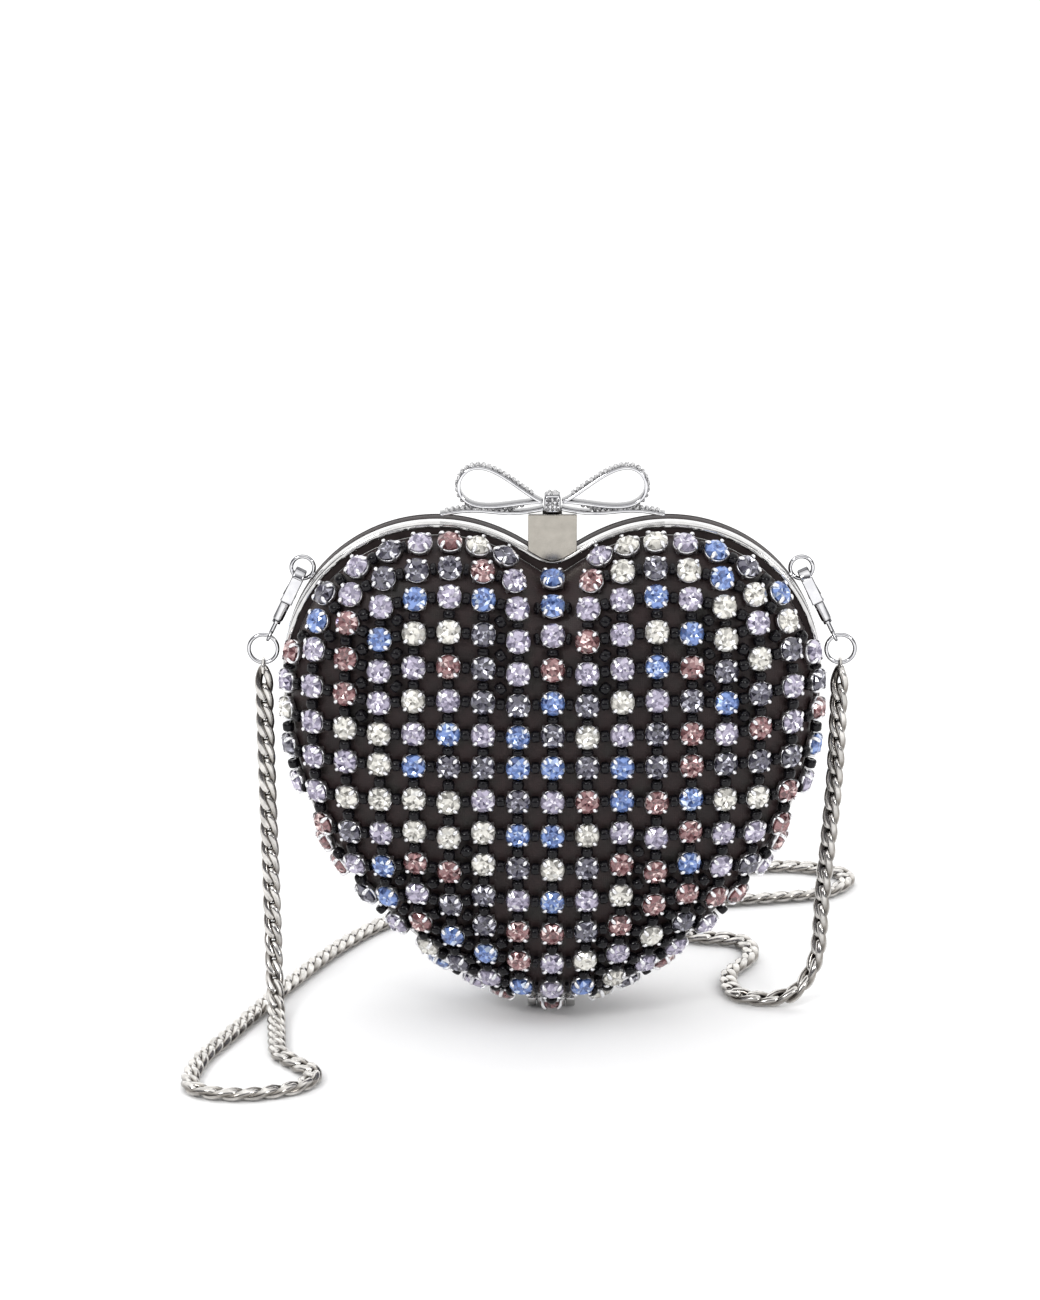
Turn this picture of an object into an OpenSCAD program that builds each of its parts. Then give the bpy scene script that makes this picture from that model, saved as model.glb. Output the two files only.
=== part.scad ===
// Heart-shaped evening clutch: two hard shells in a polished rim, joined by a hinge at the tip
// and held by a bow clasp in the cleft. A net of crystals in claw cups and black glass beads
// covers both shells. A snap hook on each side carries the ends of a curb chain.
// X runs across the bag, Y from front to back, Z up. The parting plane is y = 0.
// The origin is on the ground under the middle of the hinge.

/* [Heart] */
// Width across the metal rim
heart_w = 147; // [144:0.5:150]
// Radius of each round lobe
lobe_r = 41.5; // [40.5:0.1:42.5]
// Radius of the long curve from the widest point to the tip
side_r = 98; // [97:0.1:99]
// Height of the lobe centres above the ground
lobe_z = 98.5; // [98:0.1:99]
// Softness of the cleft and the tip
soft_r = 5; // [4.5:0.1:5.5]
// Height of the middle of the dome
dome_z = 75; // [72:0.5:78]
// Depth of one shell from the parting plane
shell_depth = 27; // [25:0.5:30]
// Wall of a shell
shell_wall = 1.6; // [1.2:0.1:2]
// Wall of a lining
lining_wall = 0.8; // [0.5:0.1:1]

/* [Rim] */
// Depth of one half of the metal rim
rim_depth = 6; // [5.8:0.1:6.4]
// Width of the rim's section
rim_t = 3.2; // [3:0.1:3.6]
// Gap between the two halves of the rim
rim_gap = 0.3; // [0.2:0.05:0.4]
// Part of the rim that shows outside the shell
rim_lip = 1.2; // [1:0.1:1.4]
// Extra distance from the rim's edge to the shells, under the lobes and the cleft
top_drop = 2.4; // [1.5:0.1:2.8]
// Width of the line that is cut round the rim
groove_w = 0.5; // [0.3:0.1:0.7]
// Depth of the line that is cut round the rim
groove_deep = 0.5; // [0.3:0.1:0.7]
// Thickness of the rim's front flange
flange_t = 1.1; // [0.8:0.1:1.5]

/* [Crystal net] */
// Spacing of the net
net_pitch = 9.8; // [9.5:0.1:10.2]
// Diameter of a crystal
stone_d = 6.2; // [5.8:0.1:6.3]
// Height of a crystal above its girdle seat
stone_h = 2.6; // [2:0.1:3]
// Wall of a claw cup
cup_wall = 0.3; // [0.2:0.05:0.4]
// Floor of a claw cup
cup_floor = 1.4; // [1:0.1:1.8]
// Height of a claw cup
cup_h = 2.4; // [2:0.1:3]
// Diameter of a glass bead
bead_d = 3.3; // [2.9:0.1:3.5]
// Greatest length of a glass bead
bead_l = 2.4; // [2:0.1:2.6]
// Gap between the net and the shell
net_gap = 0.25; // [0.2:0.05:0.4]
// Extra distance from the rim to the net, under the lobes and the cleft
top_clear = 3; // [2:0.5:4]
// Depth that stays bare behind the rim's top on the back, so that no crystal shows over it
back_bare = 4; // [3:0.5:5]

/* [Hinge] */
// Radius of a hinge knuckle
knuckle_r = 2.6; // [2.4:0.05:2.8]
// Length of a hinge knuckle
knuckle_l = 2.4; // [2:0.1:3]
// Flat that is ground under the knuckles, for the bag to stand on
foot_flat = 0.25; // [0.15:0.05:0.4]
// Radius of the hinge pin
hinge_pin_r = 1; // [0.8:0.05:1.2]
// Radial clearance of every pin
pin_gap = 0.05; // [0.02:0.01:0.09]
// Gap between moving faces
move_gap = 0.3; // [0.25:0.05:0.4]

/* [Clasp] */
// Width of the square clasp plate
plate_w = 13.2; // [12.5:0.1:14]
// Height of the top of the clasp plate above the ground
plate_top = 142.5; // [142:0.1:143]
// Thickness of the clasp plate
plate_t = 1.2; // [1:0.1:1.4]
// Width of the catch tongue behind the plate
tongue_w = 4; // [3.5:0.1:4.2]
// Thickness of the catch tongue
tongue_t = 1.6; // [1.2:0.1:1.8]
// Radius of the clasp pin
clasp_pin_r = 0.8; // [0.6:0.05:0.9]
// Wall round the clasp pin in the lever
lever_wall = 0.5; // [0.4:0.05:0.6]

/* [Bow] */
// Length of one loop of the bow
loop_l = 23.5; // [22:0.5:26]
// Height of one loop of the bow
loop_h = 11.5; // [10:0.5:13]
// Rise of the loops from the knot, in degrees
loop_tilt = 14; // [12:1:20]
// Length of one tail of the bow
tail_l = 28; // [24:0.5:30]
// Width of the ribbon
ribbon_w = 4.6; // [4:0.1:5]
// Thickness of the ribbon
ribbon_t = 0.9; // [0.7:0.1:1.1]
// Diameter of a pave crystal
pave_d = 1.5; // [1.2:0.1:1.6]
// Width of the knot
knot_w = 4.4; // [3.8:0.1:4.6]
// Height of the knot
knot_h = 4.8; // [4.2:0.1:5.2]

/* [Side fittings] */
// Outer diameter of a lug ring
lug_d = 7.3; // [7:0.1:7.6]
// Outer diameter of an end ring
end_ring_d = 9; // [8.6:0.1:9.4]
// Thickness of the ring wire
ring_wire = 1.1; // [1:0.05:1.2]
// Thickness of the hook's claw
hook_wire = 1.5; // [1.3:0.1:1.6]
// Width of the hook's claw
claw_w = 3.2; // [2.8:0.1:3.4]
// Clear width of the hook's jaw
jaw_gap = 2.5; // [2.3:0.1:2.8]
// Straight length of the hook's spine
spine_l = 7.5; // [7:0.1:8]
// Length of the hook's barrel
barrel_l = 7.4; // [7:0.1:7.8]
// Radius of the hook's barrel at the jaw
barrel_r = 2.2; // [2.1:0.05:2.4]
// Width of the hook's barrel across its flats
barrel_w = 2.8; // [2.6:0.1:3.2]
// Distance from the middle of the lug ring to the middle of the end ring
hang_l = 25.5; // [25.3:0.1:25.7]
// Radius of the gate's pin
gate_pin_r = 0.35; // [0.3:0.01:0.4]

/* [Chain] */
// Width of the curb chain
chain_d = 5.2; // [4.8:0.1:5.4]

/* [Hidden] */

round_fn = 24;
wire_fn = 20;
rim_points = 120;
shell_sides = 60;
shell_rings = 9;
lining_sides = 48;
lining_rings = 7;
dome_power = 2.4;
cut = 1;
seat_gap = 0.05;
lining_gap = 0.3;

lobe_x = heart_w / 2 - lobe_r;
side_x = heart_w / 2 - side_r;
lobe_up = lobe_z - dome_z;
soft_share = soft_r / (lobe_up + lobe_r);

// Distance from a point to a circle's far side, along a ray from the middle of the dome
function ray_r(s, c, x, z, r) =
    let (b = s * x + c * z)
    b + sqrt(b * b - x * x - z * z + r * r);

// Radius of the heart's outline at an angle from straight up
function outline_r(a) =
    let (raw = sqrt(pow(sin(a), 2) + pow(soft_share, 2)), t = norm([raw, cos(a)]))
    let (s = raw / t, c = cos(a) / t, low = ray_r(s, c, side_x, lobe_up, side_r))
    low * c < lobe_up ? low : ray_r(s, c, lobe_x, lobe_up, lobe_r);

// The shells sit lower than the rim along its top and level with it along its sides
function top_share(a) = let (t = max(0, cos(a))) t * (2 - t);

function inner_r(a) = outline_r(a) - top_drop * top_share(a);

function heart_points(grow, drop) =
    [for (i = [0 : rim_points - 1])
        let (a = 360 * i / rim_points, r = outline_r(a) - drop * top_share(a) + grow)
        [r * sin(a), dome_z + r * cos(a)]];

tip_z = dome_z - outline_r(180);
cleft_z = dome_z + outline_r(0);

module heart_slab(grow, y0, y1, drop = 0) {
    translate([0, y1, 0])
        rotate([90, 0, 0])
            linear_extrude(y1 - y0)
                polygon(heart_points(grow, drop));
}

module front_side() {
    mirror([0, 1, 0])
        children();
}

// Shells and linings: a dome over the heart, with a straight skirt below it

function dome_ring(inset, depth, phi, sides) =
    let (q = pow(cos(phi), 2 / dome_power), h = pow(sin(phi), 2 / dome_power))
    [for (i = [0 : sides - 1])
        let (a = 360 * i / sides, r = (inner_r(a) - inset) * q)
        [r * sin(a), rim_depth + h * (depth - rim_depth), dome_z + r * cos(a)]];

function skirt_ring(inset, y, sides) =
    [for (p = dome_ring(inset, rim_depth, 0, sides)) [p.x, y, p.z]];

function skin_points(inset, depth, base_y, sides, rings) =
    concat(
        base_y < rim_depth ? skirt_ring(inset, base_y, sides) : [],
        [for (k = [0 : rings - 1]) each dome_ring(inset, depth, 90 * k / rings, sides)],
        [[0, depth, dome_z]]);

function skin_faces(first, sides, rows, flip) =
    let (top = first + sides * rows)
    [for (k = [0 : rows - 1], i = [0 : sides - 1])
        let (j = (i + 1) % sides, a = first + k * sides + i, b = first + k * sides + j)
        let (faces = k < rows - 1
            ? [[a, b, b + sides], [a, b + sides, a + sides]]
            : [[a, b, top]])
        each [for (f = faces) flip ? [f[2], f[1], f[0]] : f]];

module dome_skin(inset, wall, depth, base_y, sides, rings) {
    rows = rings + (base_y < rim_depth ? 1 : 0);
    outer = skin_points(inset, depth, base_y, sides, rings);
    inner = skin_points(inset + wall, depth - wall, base_y, sides, rings);
    start = len(outer);
    edge = [for (i = [0 : sides - 1])
        let (j = (i + 1) % sides)
        each [[j, i, start + i], [j, start + i, start + j]]];
    polyhedron(concat(outer, inner),
        concat(skin_faces(0, sides, rows, false), skin_faces(start, sides, rows, true), edge));
}

module shell() {
    dome_skin(rim_lip, shell_wall, shell_depth, rim_depth, shell_sides, shell_rings);
}

module lining() {
    dome_skin(rim_t + lining_gap, lining_wall, shell_depth - shell_wall - lining_gap,
        rim_gap, lining_sides, lining_rings);
}

module back_shell() {
    color([0.16, 0.14, 0.14])
        shell();
}

module front_shell() {
    color([0.16, 0.14, 0.14])
        front_side()
            shell();
}

module back_lining() {
    color([0.25, 0.22, 0.22])
        lining();
}

module front_lining() {
    color([0.25, 0.22, 0.22])
        front_side()
            lining();
}

// Rim halves with their hinge knuckles

axis_z = knuckle_r - foot_flat;
knuckles = 5;
knuckle_step = knuckle_l + move_gap;
hinge_l = knuckles * knuckle_l + (knuckles - 1) * move_gap;

function knuckle_x(k) = (k - (knuckles - 1) / 2) * knuckle_step - knuckle_l / 2;

module bar_x(r, x, l) {
    translate([x, 0, axis_z])
        rotate([0, 90, 0])
            cylinder(h = l, r = r, $fn = 2 * round_fn);
}

module rim_half(first) {
    difference() {
        union() {
            difference() {
                union() {
                    heart_slab(0, rim_gap / 2, rim_depth - flange_t - groove_w);
                    heart_slab(-groove_deep, rim_depth - flange_t - groove_w, rim_depth - flange_t);
                    heart_slab(0, rim_depth - flange_t, rim_depth);
                }
                for (k = [1 - first : 2 : knuckles - 1])
                    bar_x(knuckle_r + move_gap, knuckle_x(k) - move_gap, knuckle_l + 2 * move_gap);
            }
            for (k = [first : 2 : knuckles - 1]) {
                bar_x(knuckle_r, knuckle_x(k), knuckle_l);
                translate([knuckle_x(k), rim_gap / 2, axis_z])
                    cube([knuckle_l, knuckle_r, 2 * rim_t + tip_z - axis_z]);
            }
        }
        heart_slab(-rim_t, -cut, rim_depth + cut, top_drop);
        bar_x(hinge_pin_r + pin_gap, -hinge_l, 2 * hinge_l);
        translate([-hinge_l, -hinge_l, -hinge_l])
            cube([2 * hinge_l, 2 * hinge_l, hinge_l]);
    }
}

module back_rim() {
    color([0.86, 0.87, 0.88])
        rim_half(0);
}

module front_rim() {
    color([0.86, 0.87, 0.88])
        front_side()
            rim_half(1);
}

module hinge_pin() {
    color([0.7, 0.7, 0.72])
        bar_x(hinge_pin_r, -hinge_l / 2, hinge_l);
}

// Clasp: a square plate and tongue on the front half, a housing with a sprung lever on the back

housing_w = plate_w - 2 * rim_gap;
housing_top = plate_top - plate_t;
housing_back = rim_depth - seat_gap;
housing_front = rim_depth - plate_t - move_gap;
pocket_w = tongue_w + 4 * move_gap;
tongue_z = cleft_z + plate_t;
tongue_top = tongue_z + tongue_t;
tongue_end = rim_depth / 3;
lever_r = clasp_pin_r + pin_gap + lever_wall;
back_wall = 3 * move_gap;
clasp_y = housing_back - back_wall - move_gap - lever_r;
clasp_z = tongue_top + 4 * move_gap + lever_r + plate_t;
spring_l = plate_t;
pawl_t = plate_t;
pawl_y = tongue_end - 2 * pawl_t;
post_w = knot_w - 2 * move_gap;
bow_y = -ribbon_w / 2;
knot_z = plate_top + move_gap;

module along_x(r, l) {
    rotate([0, 90, 0])
        cylinder(h = l, r = r, center = true, $fn = round_fn);
}

module clasp_plate() {
    color([0.8, 0.79, 0.77]) {
        difference() {
            translate([-plate_w / 2, -rim_depth, cleft_z - plate_w / 2])
                cube([plate_w, plate_t, plate_top - cleft_z + plate_w / 2]);
            heart_slab(seat_gap, -rim_depth - cut, cut);
        }
        translate([-tongue_w / 2, plate_t - rim_depth - seat_gap, tongue_z])
            cube([tongue_w, rim_depth - plate_t + tongue_end + seat_gap, tongue_t]);
    }
}

module clasp_housing() {
    color([0.8, 0.8, 0.82])
        difference() {
            translate([-housing_w / 2, -housing_front, cleft_z - plate_w / 2])
                cube([housing_w, housing_front + housing_back, housing_top - cleft_z + plate_w / 2]);
            heart_slab(seat_gap, -cut, rim_depth + cut);
            heart_slab(move_gap, -rim_depth - cut, rim_gap);
            translate([-pocket_w / 2, -rim_depth, cleft_z - plate_w])
                cube([pocket_w, rim_depth + housing_back - back_wall, 2 * plate_w + housing_top]);
            translate([0, clasp_y, clasp_z])
                along_x(clasp_pin_r + pin_gap, 2 * plate_w);
        }
}

module clasp_pin() {
    color([0.7, 0.7, 0.72])
        translate([0, clasp_y, clasp_z])
            along_x(clasp_pin_r, housing_w);
}

module clasp_spring() {
    color([0.6, 0.6, 0.62])
        translate([-(pocket_w - spring_l) / 2 + seat_gap, clasp_y, clasp_z])
            difference() {
                along_x(lever_r, spring_l - 2 * seat_gap);
                along_x(clasp_pin_r + pin_gap, spring_l + cut);
            }
}

module clasp_lever() {
    lever_x = spring_l - pocket_w / 2 + seat_gap;
    lever_l = pocket_w - spring_l - move_gap - seat_gap;
    color([0.8, 0.8, 0.82])
        difference() {
            union() {
                translate([lever_x + lever_l / 2, clasp_y, clasp_z])
                    along_x(lever_r, lever_l);
                translate([lever_x, pawl_y, clasp_z - lever_r])
                    cube([lever_l, clasp_y - pawl_y, lever_r]);
                translate([lever_x, pawl_y, tongue_top + move_gap])
                    cube([lever_l, pawl_t, clasp_z - tongue_top - move_gap]);
                translate([-post_w / 2, pawl_y - pawl_t, clasp_z - lever_r])
                    cube([post_w, 2 * pawl_t, knot_z - clasp_z + lever_r]);
            }
            translate([0, clasp_y, clasp_z])
                along_x(clasp_pin_r + pin_gap, 2 * plate_w);
        }
}

// Bow: two loops, two tails and a knot of flat ribbon, with pave crystals on the outside

loop_steps = 48;
loop_lean_share = 2;
loop_full_share = 0.7;
tail_steps = 16;
tail_fall_share = 0.06;
tail_wave_share = 0.025;
pave_rows = 2;
pave_steps = 28;
pave_start = 30;
pave_last = 18;
tail_pave = 13;
pave_h = pave_d / 3;
pave_pitch_share = 1.25;
pave_top_share = 0.6;
loop_up_share = 0.55;
loop_z = knot_z + knot_h * loop_up_share;
tail_z = knot_z + ribbon_t;
bow_start = knot_w / 2 + 3 * seat_gap;

function loop_mid(t) =
    let (u = loop_l * (1 - cos(t)) / 2)
    let (v = loop_h * loop_full_share * sin(t) * pow(sin(t / 2), loop_lean_share))
    [bow_start + u * cos(loop_tilt) - v * sin(loop_tilt),
     loop_z + u * sin(loop_tilt) + v * cos(loop_tilt)];

function tail_mid(t) =
    [bow_start + tail_l * t,
     tail_z - tail_l * (tail_fall_share * t + tail_wave_share * sin(360 * t))];

function side_of(p, q) = let (d = (q - p) / norm(q - p)) [-d.y, d.x];

function edge_of(mid, d) =
    [for (i = [0 : len(mid) - 1])
        let (a = mid[max(0, i - 1)], b = mid[min(len(mid) - 1, i + 1)])
        mid[i] + side_of(a, b) * d];

loop_start = 12;
loop_open = 44;
loop_line = [for (i = [0 : loop_steps]) loop_mid(loop_start + (360 - 2 * loop_start) * i / loop_steps)];
loop_hole = [for (i = [0 : loop_steps]) loop_mid(loop_open + (360 - 2 * loop_open) * i / loop_steps)];
tail_line = [for (i = [0 : tail_steps]) tail_mid(i / tail_steps)];

module ribbon_slab(outline, w) {
    translate([0, bow_y + w / 2, 0])
        rotate([90, 0, 0])
            linear_extrude(w)
                polygon(outline);
}

module bow_loop() {
    difference() {
        ribbon_slab(edge_of(loop_line, ribbon_t / 2), ribbon_w);
        ribbon_slab(edge_of(loop_hole, -ribbon_t / 2), ribbon_w + cut);
    }
}

module bow_tail() {
    lower = edge_of(tail_line, -ribbon_t / 2);
    ribbon_slab(concat(edge_of(tail_line, ribbon_t / 2),
        [for (i = [len(lower) - 1 : -1 : 0]) lower[i]]), ribbon_w);
}

module left_side() {
    mirror([1, 0, 0])
        children();
}

module bow_loop_right() {
    color([0.88, 0.88, 0.9])
        bow_loop();
}

module bow_loop_left() {
    color([0.88, 0.88, 0.9])
        left_side()
            bow_loop();
}

module bow_tail_right() {
    color([0.88, 0.88, 0.9])
        bow_tail();
}

module bow_tail_left() {
    color([0.88, 0.88, 0.9])
        left_side()
            bow_tail();
}

module bow_knot() {
    knot_r = knot_w / 4;
    color([0.88, 0.88, 0.9])
        translate([0, bow_y, knot_z + seat_gap])
            rotate([90, 0, 0])
                linear_extrude(ribbon_w + 2 * ribbon_t, center = true)
                    union() {
                        translate([-knot_w / 2, knot_r])
                            square([knot_w, knot_h - 2 * knot_r]);
                        translate([knot_r - knot_w / 2, 0])
                            square([knot_w - 2 * knot_r, knot_h]);
                        for (x = [knot_r - knot_w / 2, knot_w / 2 - knot_r])
                            for (z = [knot_r, knot_h - knot_r])
                                translate([x, z])
                                    circle(r = knot_r, $fn = round_fn);
                    }
}

module pave_line(line, lift, first, last) {
    for (i = [first : last]) {
        n = side_of(line[i - 1], line[i + 1]);
        p = line[i] + n * lift;
        for (k = [0 : pave_rows - 1])
            translate([p.x, bow_y + (k - (pave_rows - 1) / 2) * pave_d * pave_pitch_share, p.y])
                rotate([0, atan2(n.x, n.y), 0])
                    cylinder(h = pave_h, d1 = pave_d, d2 = pave_d * pave_top_share, $fn = round_fn);
    }
}

module half_bow_crystals() {
    line = [for (i = [0 : pave_steps]) loop_mid(pave_start + (360 - 2 * pave_start) * i / pave_steps)];
    pave_line(line, ribbon_t / 2 + seat_gap, 1, pave_last);
    pave_line(tail_line, ribbon_t / 2 + seat_gap, tail_pave, tail_steps - 1);
}

module bow_crystals() {
    color([0.93, 0.95, 1]) {
        half_bow_crystals();
        left_side()
            half_bow_crystals();
    }
}

// Side fittings: a lug ring on the rim, a snap hook, its gate, a swivel and an end ring

fit_y = rim_depth / 2;
lug_angle = 53;
hook_lean = 26;
lug_mid = (lug_d - ring_wire) / 2;
end_mid = (end_ring_d - ring_wire) / 2;
lug_out = lug_d / 2 + 2 * seat_gap;
lug_x = lobe_x + (lobe_r + lug_out) * sin(lug_angle);
lug_z = lobe_z + (lobe_r + lug_out) * cos(lug_angle);
jaw_r = (jaw_gap + hook_wire) / 2;
lug_bore_r = lug_mid - ring_wire / 2;
claw_rise = lug_bore_r - sqrt(lug_bore_r * lug_bore_r - claw_w * claw_w / 4);
jaw_z = claw_rise + move_gap / 2 - lug_bore_r - jaw_gap / 2;
nose_l = hook_wire * 2 / 3;
barrel_top = jaw_z - spine_l + hook_wire;
barrel_end = barrel_top - barrel_l;
barrel_tip_share = 0.6;
barrel_tip_r = barrel_r * barrel_tip_share;
gate_w_share = 0.6;
gate_w = hook_wire * gate_w_share;
gate_t = hook_wire / 2;
gate_y = jaw_r - gate_t / 2;
gate_foot_r = 2 * gate_pin_r;
gate_z_share = 0.65;
gate_z = barrel_top - barrel_r * gate_z_share;
stud_share = 0.4;
stud_r = hook_wire * stud_share;
stud_l = barrel_r;
eye_share = 0.8;
eye_wire = ring_wire * eye_share;
eye_mid = ring_wire / 2 + move_gap + eye_wire / 2;
eye_z = end_mid - hang_l + eye_mid - eye_wire / 2 - ring_wire / 2 - move_gap / 2;
collar_r = 2 * stud_r;

module on_side(side) {
    if (side < 0)
        left_side()
            children();
    else
        children();
}

module hung(side) {
    on_side(side)
        translate([lug_x, fit_y, lug_z])
            rotate([0, -hook_lean, 0])
                children();
}

module wire_loop(r, wire) {
    rotate_extrude($fn = 2 * round_fn)
        translate([r, 0])
            circle(r = wire / 2, $fn = wire_fn);
}

module lug(side) {
    color([0.8, 0.8, 0.82])
        on_side(side) {
            translate([lug_x, fit_y, lug_z])
                rotate([90, 0, 0])
                    wire_loop(lug_mid, ring_wire);
            translate([lobe_x, fit_y, lobe_z])
                rotate([0, lug_angle, 0])
                    translate([0, 0, lobe_r + seat_gap])
                        cylinder(h = lug_out - lug_mid - seat_gap, r = ring_wire, $fn = round_fn);
        }
}

// Side view of the claw: a spine on one side, a short nose on the other
module claw_profile() {
    difference() {
        union() {
            circle(r = jaw_r + hook_wire / 2, $fn = 2 * round_fn);
            translate([-jaw_r - hook_wire / 2, -spine_l])
                square([2 * jaw_r + hook_wire, spine_l]);
        }
        circle(r = jaw_gap / 2, $fn = 2 * round_fn);
        translate([-jaw_gap / 2, -spine_l - cut])
            square([jaw_gap, spine_l + cut]);
        translate([0, -spine_l - cut])
            square([2 * jaw_r, spine_l + cut - nose_l]);
    }
}

module hook(side) {
    color([0.78, 0.78, 0.8])
        hung(side)
            difference() {
                union() {
                    translate([-claw_w / 2, 0, jaw_z])
                        rotate([90, 0, 90])
                            linear_extrude(claw_w)
                                claw_profile();
                    intersection() {
                        translate([0, 0, barrel_end])
                            cylinder(h = barrel_l, r1 = barrel_tip_r, r2 = barrel_r, $fn = round_fn);
                        translate([-barrel_w / 2, -barrel_r, barrel_end])
                            cube([barrel_w, 2 * barrel_r, barrel_l]);
                    }
                }
                translate([-gate_w / 2 - pin_gap, gate_t, gate_z - gate_foot_r - move_gap])
                    cube([gate_w + 2 * pin_gap, 2 * barrel_r, barrel_r * 2]);
                translate([0, gate_y - pin_gap, gate_z])
                    along_x(gate_pin_r + pin_gap, 4 * barrel_r);
                translate([0, 0, barrel_end - cut])
                    cylinder(h = stud_l + cut, r = stud_r + pin_gap, $fn = round_fn);
            }
}

module gate(side) {
    color([0.7, 0.7, 0.72])
        hung(side)
            difference() {
                union() {
                    translate([0, gate_y - pin_gap, gate_z])
                        along_x(gate_foot_r, gate_w);
                    translate([-gate_w / 2, gate_y - gate_t / 2, gate_z])
                        cube([gate_w, gate_t, jaw_z - nose_l - move_gap - gate_z]);
                }
                translate([0, gate_y - pin_gap, gate_z])
                    along_x(gate_pin_r + pin_gap, 4 * barrel_r);
            }
}

module gate_pin(side) {
    color([0.6, 0.6, 0.62])
        hung(side)
            translate([0, gate_y - pin_gap, gate_z])
                along_x(gate_pin_r, barrel_r);
}

module swivel(side) {
    color([0.8, 0.8, 0.82])
        hung(side) {
            translate([0, 0, eye_z + eye_mid - eye_wire / 2])
                cylinder(h = barrel_end + stud_l - move_gap - eye_z - eye_mid + eye_wire / 2,
                    r = stud_r, $fn = round_fn);
            translate([0, 0, barrel_end - stud_r - move_gap / 2])
                cylinder(h = stud_r, r = collar_r, $fn = round_fn);
            translate([0, 0, eye_z])
                rotate([0, 90, 0])
                    wire_loop(eye_mid, eye_wire);
        }
}

module end_ring(side) {
    color([0.82, 0.82, 0.84])
        hung(side)
            translate([0, 0, -hang_l])
                rotate([90, 0, 0])
                    wire_loop(end_mid, ring_wire);
}

module left_lug() lug(-1);
module right_lug() lug(1);
module left_hook() hook(-1);
module right_hook() hook(1);
module left_gate() gate(-1);
module right_gate() gate(1);
module left_gate_pin() gate_pin(-1);
module right_gate_pin() gate_pin(1);
module left_swivel() swivel(-1);
module right_swivel() swivel(1);
module left_end_ring() end_ring(-1);
module right_end_ring() end_ring(1);

// Crystal net: columns are walked up and down over the dome from a row across its middle

cup_r = stone_d / 2 + seat_gap + cup_wall;
cup_near = 2 * cup_r + seat_gap * 4;
hop_steps = 12;
fine_step = net_pitch / hop_steps;
fine_most = 200;
squeeze_share = 0.5;
squeeze_least = 3;
crowd_share = 0.75;
rise_share = 1.25;
edge_steps = 180;
edge_share = 0.74;
edge_near = edge_share * net_pitch;
link_share = 1.22;
link_most = link_share * net_pitch;
slope_step = net_pitch / 1000;
bead_least = bead_d / 4;
girdle_share = 0.35;
table_share = 0.3;

function angle_at(p) = atan2(p.x, p.z - dome_z);

function share_at(p) = norm([p.x, p.z - dome_z]) / (inner_r(angle_at(p)) - rim_lip);

function field(p) =
    pow(share_at(p), dome_power)
    + pow(max(0, p.y - rim_depth) / (shell_depth - rim_depth), dome_power) - 1;

function slope(p) =
    [for (d = [[slope_step, 0, 0], [0, slope_step, 0], [0, 0, slope_step]])
        (field(p + d) - field(p - d)) / (2 * slope_step)];

function unit(v) = v / norm(v);

function on_dome(p, n = 3) =
    n == 0 ? p : let (g = slope(p)) on_dome(p - g * field(p) / (g * g), n - 1);

function heading(p, d) = let (n = unit(slope(p))) unit(d - n * (n * d));

function step(p, d, l) = on_dome(p + heading(p, d) * l);

function hop(p, d, l, n = hop_steps) = n == 0 ? p : hop(step(p, d, l / hop_steps), d, l, n - 1);

// Depth at which the net's edge lies, at an angle round the heart
function edge_y(a) = rim_depth + cup_r + 2 * seat_gap + top_clear * top_share(a);

function on_shell(p) = p.y > edge_y(angle_at(p)) && p.x > -cup_r;

function reach(p, d, n = 0) =
    n == fine_most || !on_shell(p) ? (n - 1) * fine_step : reach(step(p, d, fine_step), d, n + 1);

function hop_count(l, share = squeeze_share) = floor(l / net_pitch + share);

function walk(p, d, l, n) = n < 0 ? [] : concat([p], walk(hop(p, d, l), d, l, n - 1));

// The net is drawn in or let out a little, so that its last row lies along the rim
function fitted_walk(p, d) =
    let (l = reach(p, d), n = hop_count(l))
    n < 1 || l < cup_near ? [p] : walk(p, d, l / n, n);

// At the top the last two rows are pushed together until their cups almost touch
tight_step = cup_near + 6 * seat_gap;

function squeezed_walk(p, d) =
    let (l = reach(p, d) - 2 * tight_step, n = hop_count(l, crowd_share))
    n < squeeze_least ? fitted_walk(p, d)
        : let (rows = walk(p, d, l / n, n), a = hop(rows[n], d, tight_step))
            concat(rows, [a, hop(a, d, tight_step)]);

up = [0, 0, 1];
row_start = fitted_walk(on_dome([0, shell_depth, dome_z + rim_t]), [1, 0, 0]);

columns =
    [for (p = row_start)
        let (rise = squeezed_walk(p, up), fall = fitted_walk(p, -up))
        concat(rise, [for (k = [1 : len(fall) - 1]) fall[k]])];

function clear_of(p, others, gap) = len(others) == 0 || min([for (q = others) norm(p - q)]) > gap;

function thin(cols, i, done) =
    i == len(cols) ? done
        : thin(cols, i + 1, concat(done,
            [for (p = cols[i]) if ((i == 0 || p.x > cup_near / 2) && clear_of(p, done, cup_near)) p]));

// Where two columns reach the rim far apart, more cups are set along the rim between them
function edge_point(a) =
    let (y = edge_y(a), h = (y - rim_depth) / (shell_depth - rim_depth))
    let (r = (inner_r(a) - rim_lip) * pow(1 - pow(h, dome_power), 1 / dome_power))
    [r * sin(a), y, dome_z + r * cos(a)];

function edged(done, i = 1) =
    i == edge_steps ? done
        : let (p = edge_point(180 * i / edge_steps))
            edged(p.x > edge_near / 2 && clear_of(p, done, edge_near) ? concat(done, [p]) : done, i + 1);

right_points = edged(thin(columns, 0, []));
net_points = concat(right_points, [for (p = right_points) if (p.x > seat_gap) [-p.x, p.y, p.z]]);

// Room between a cup's wall and the middle of a bead, less what the bead's lean takes
function room_at(p, q, d) =
    let (n = unit(slope(p)))
    norm(cross(q - p, n)) - cup_r - abs(d * n) * bead_d / 2 - 2 * seat_gap;

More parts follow.
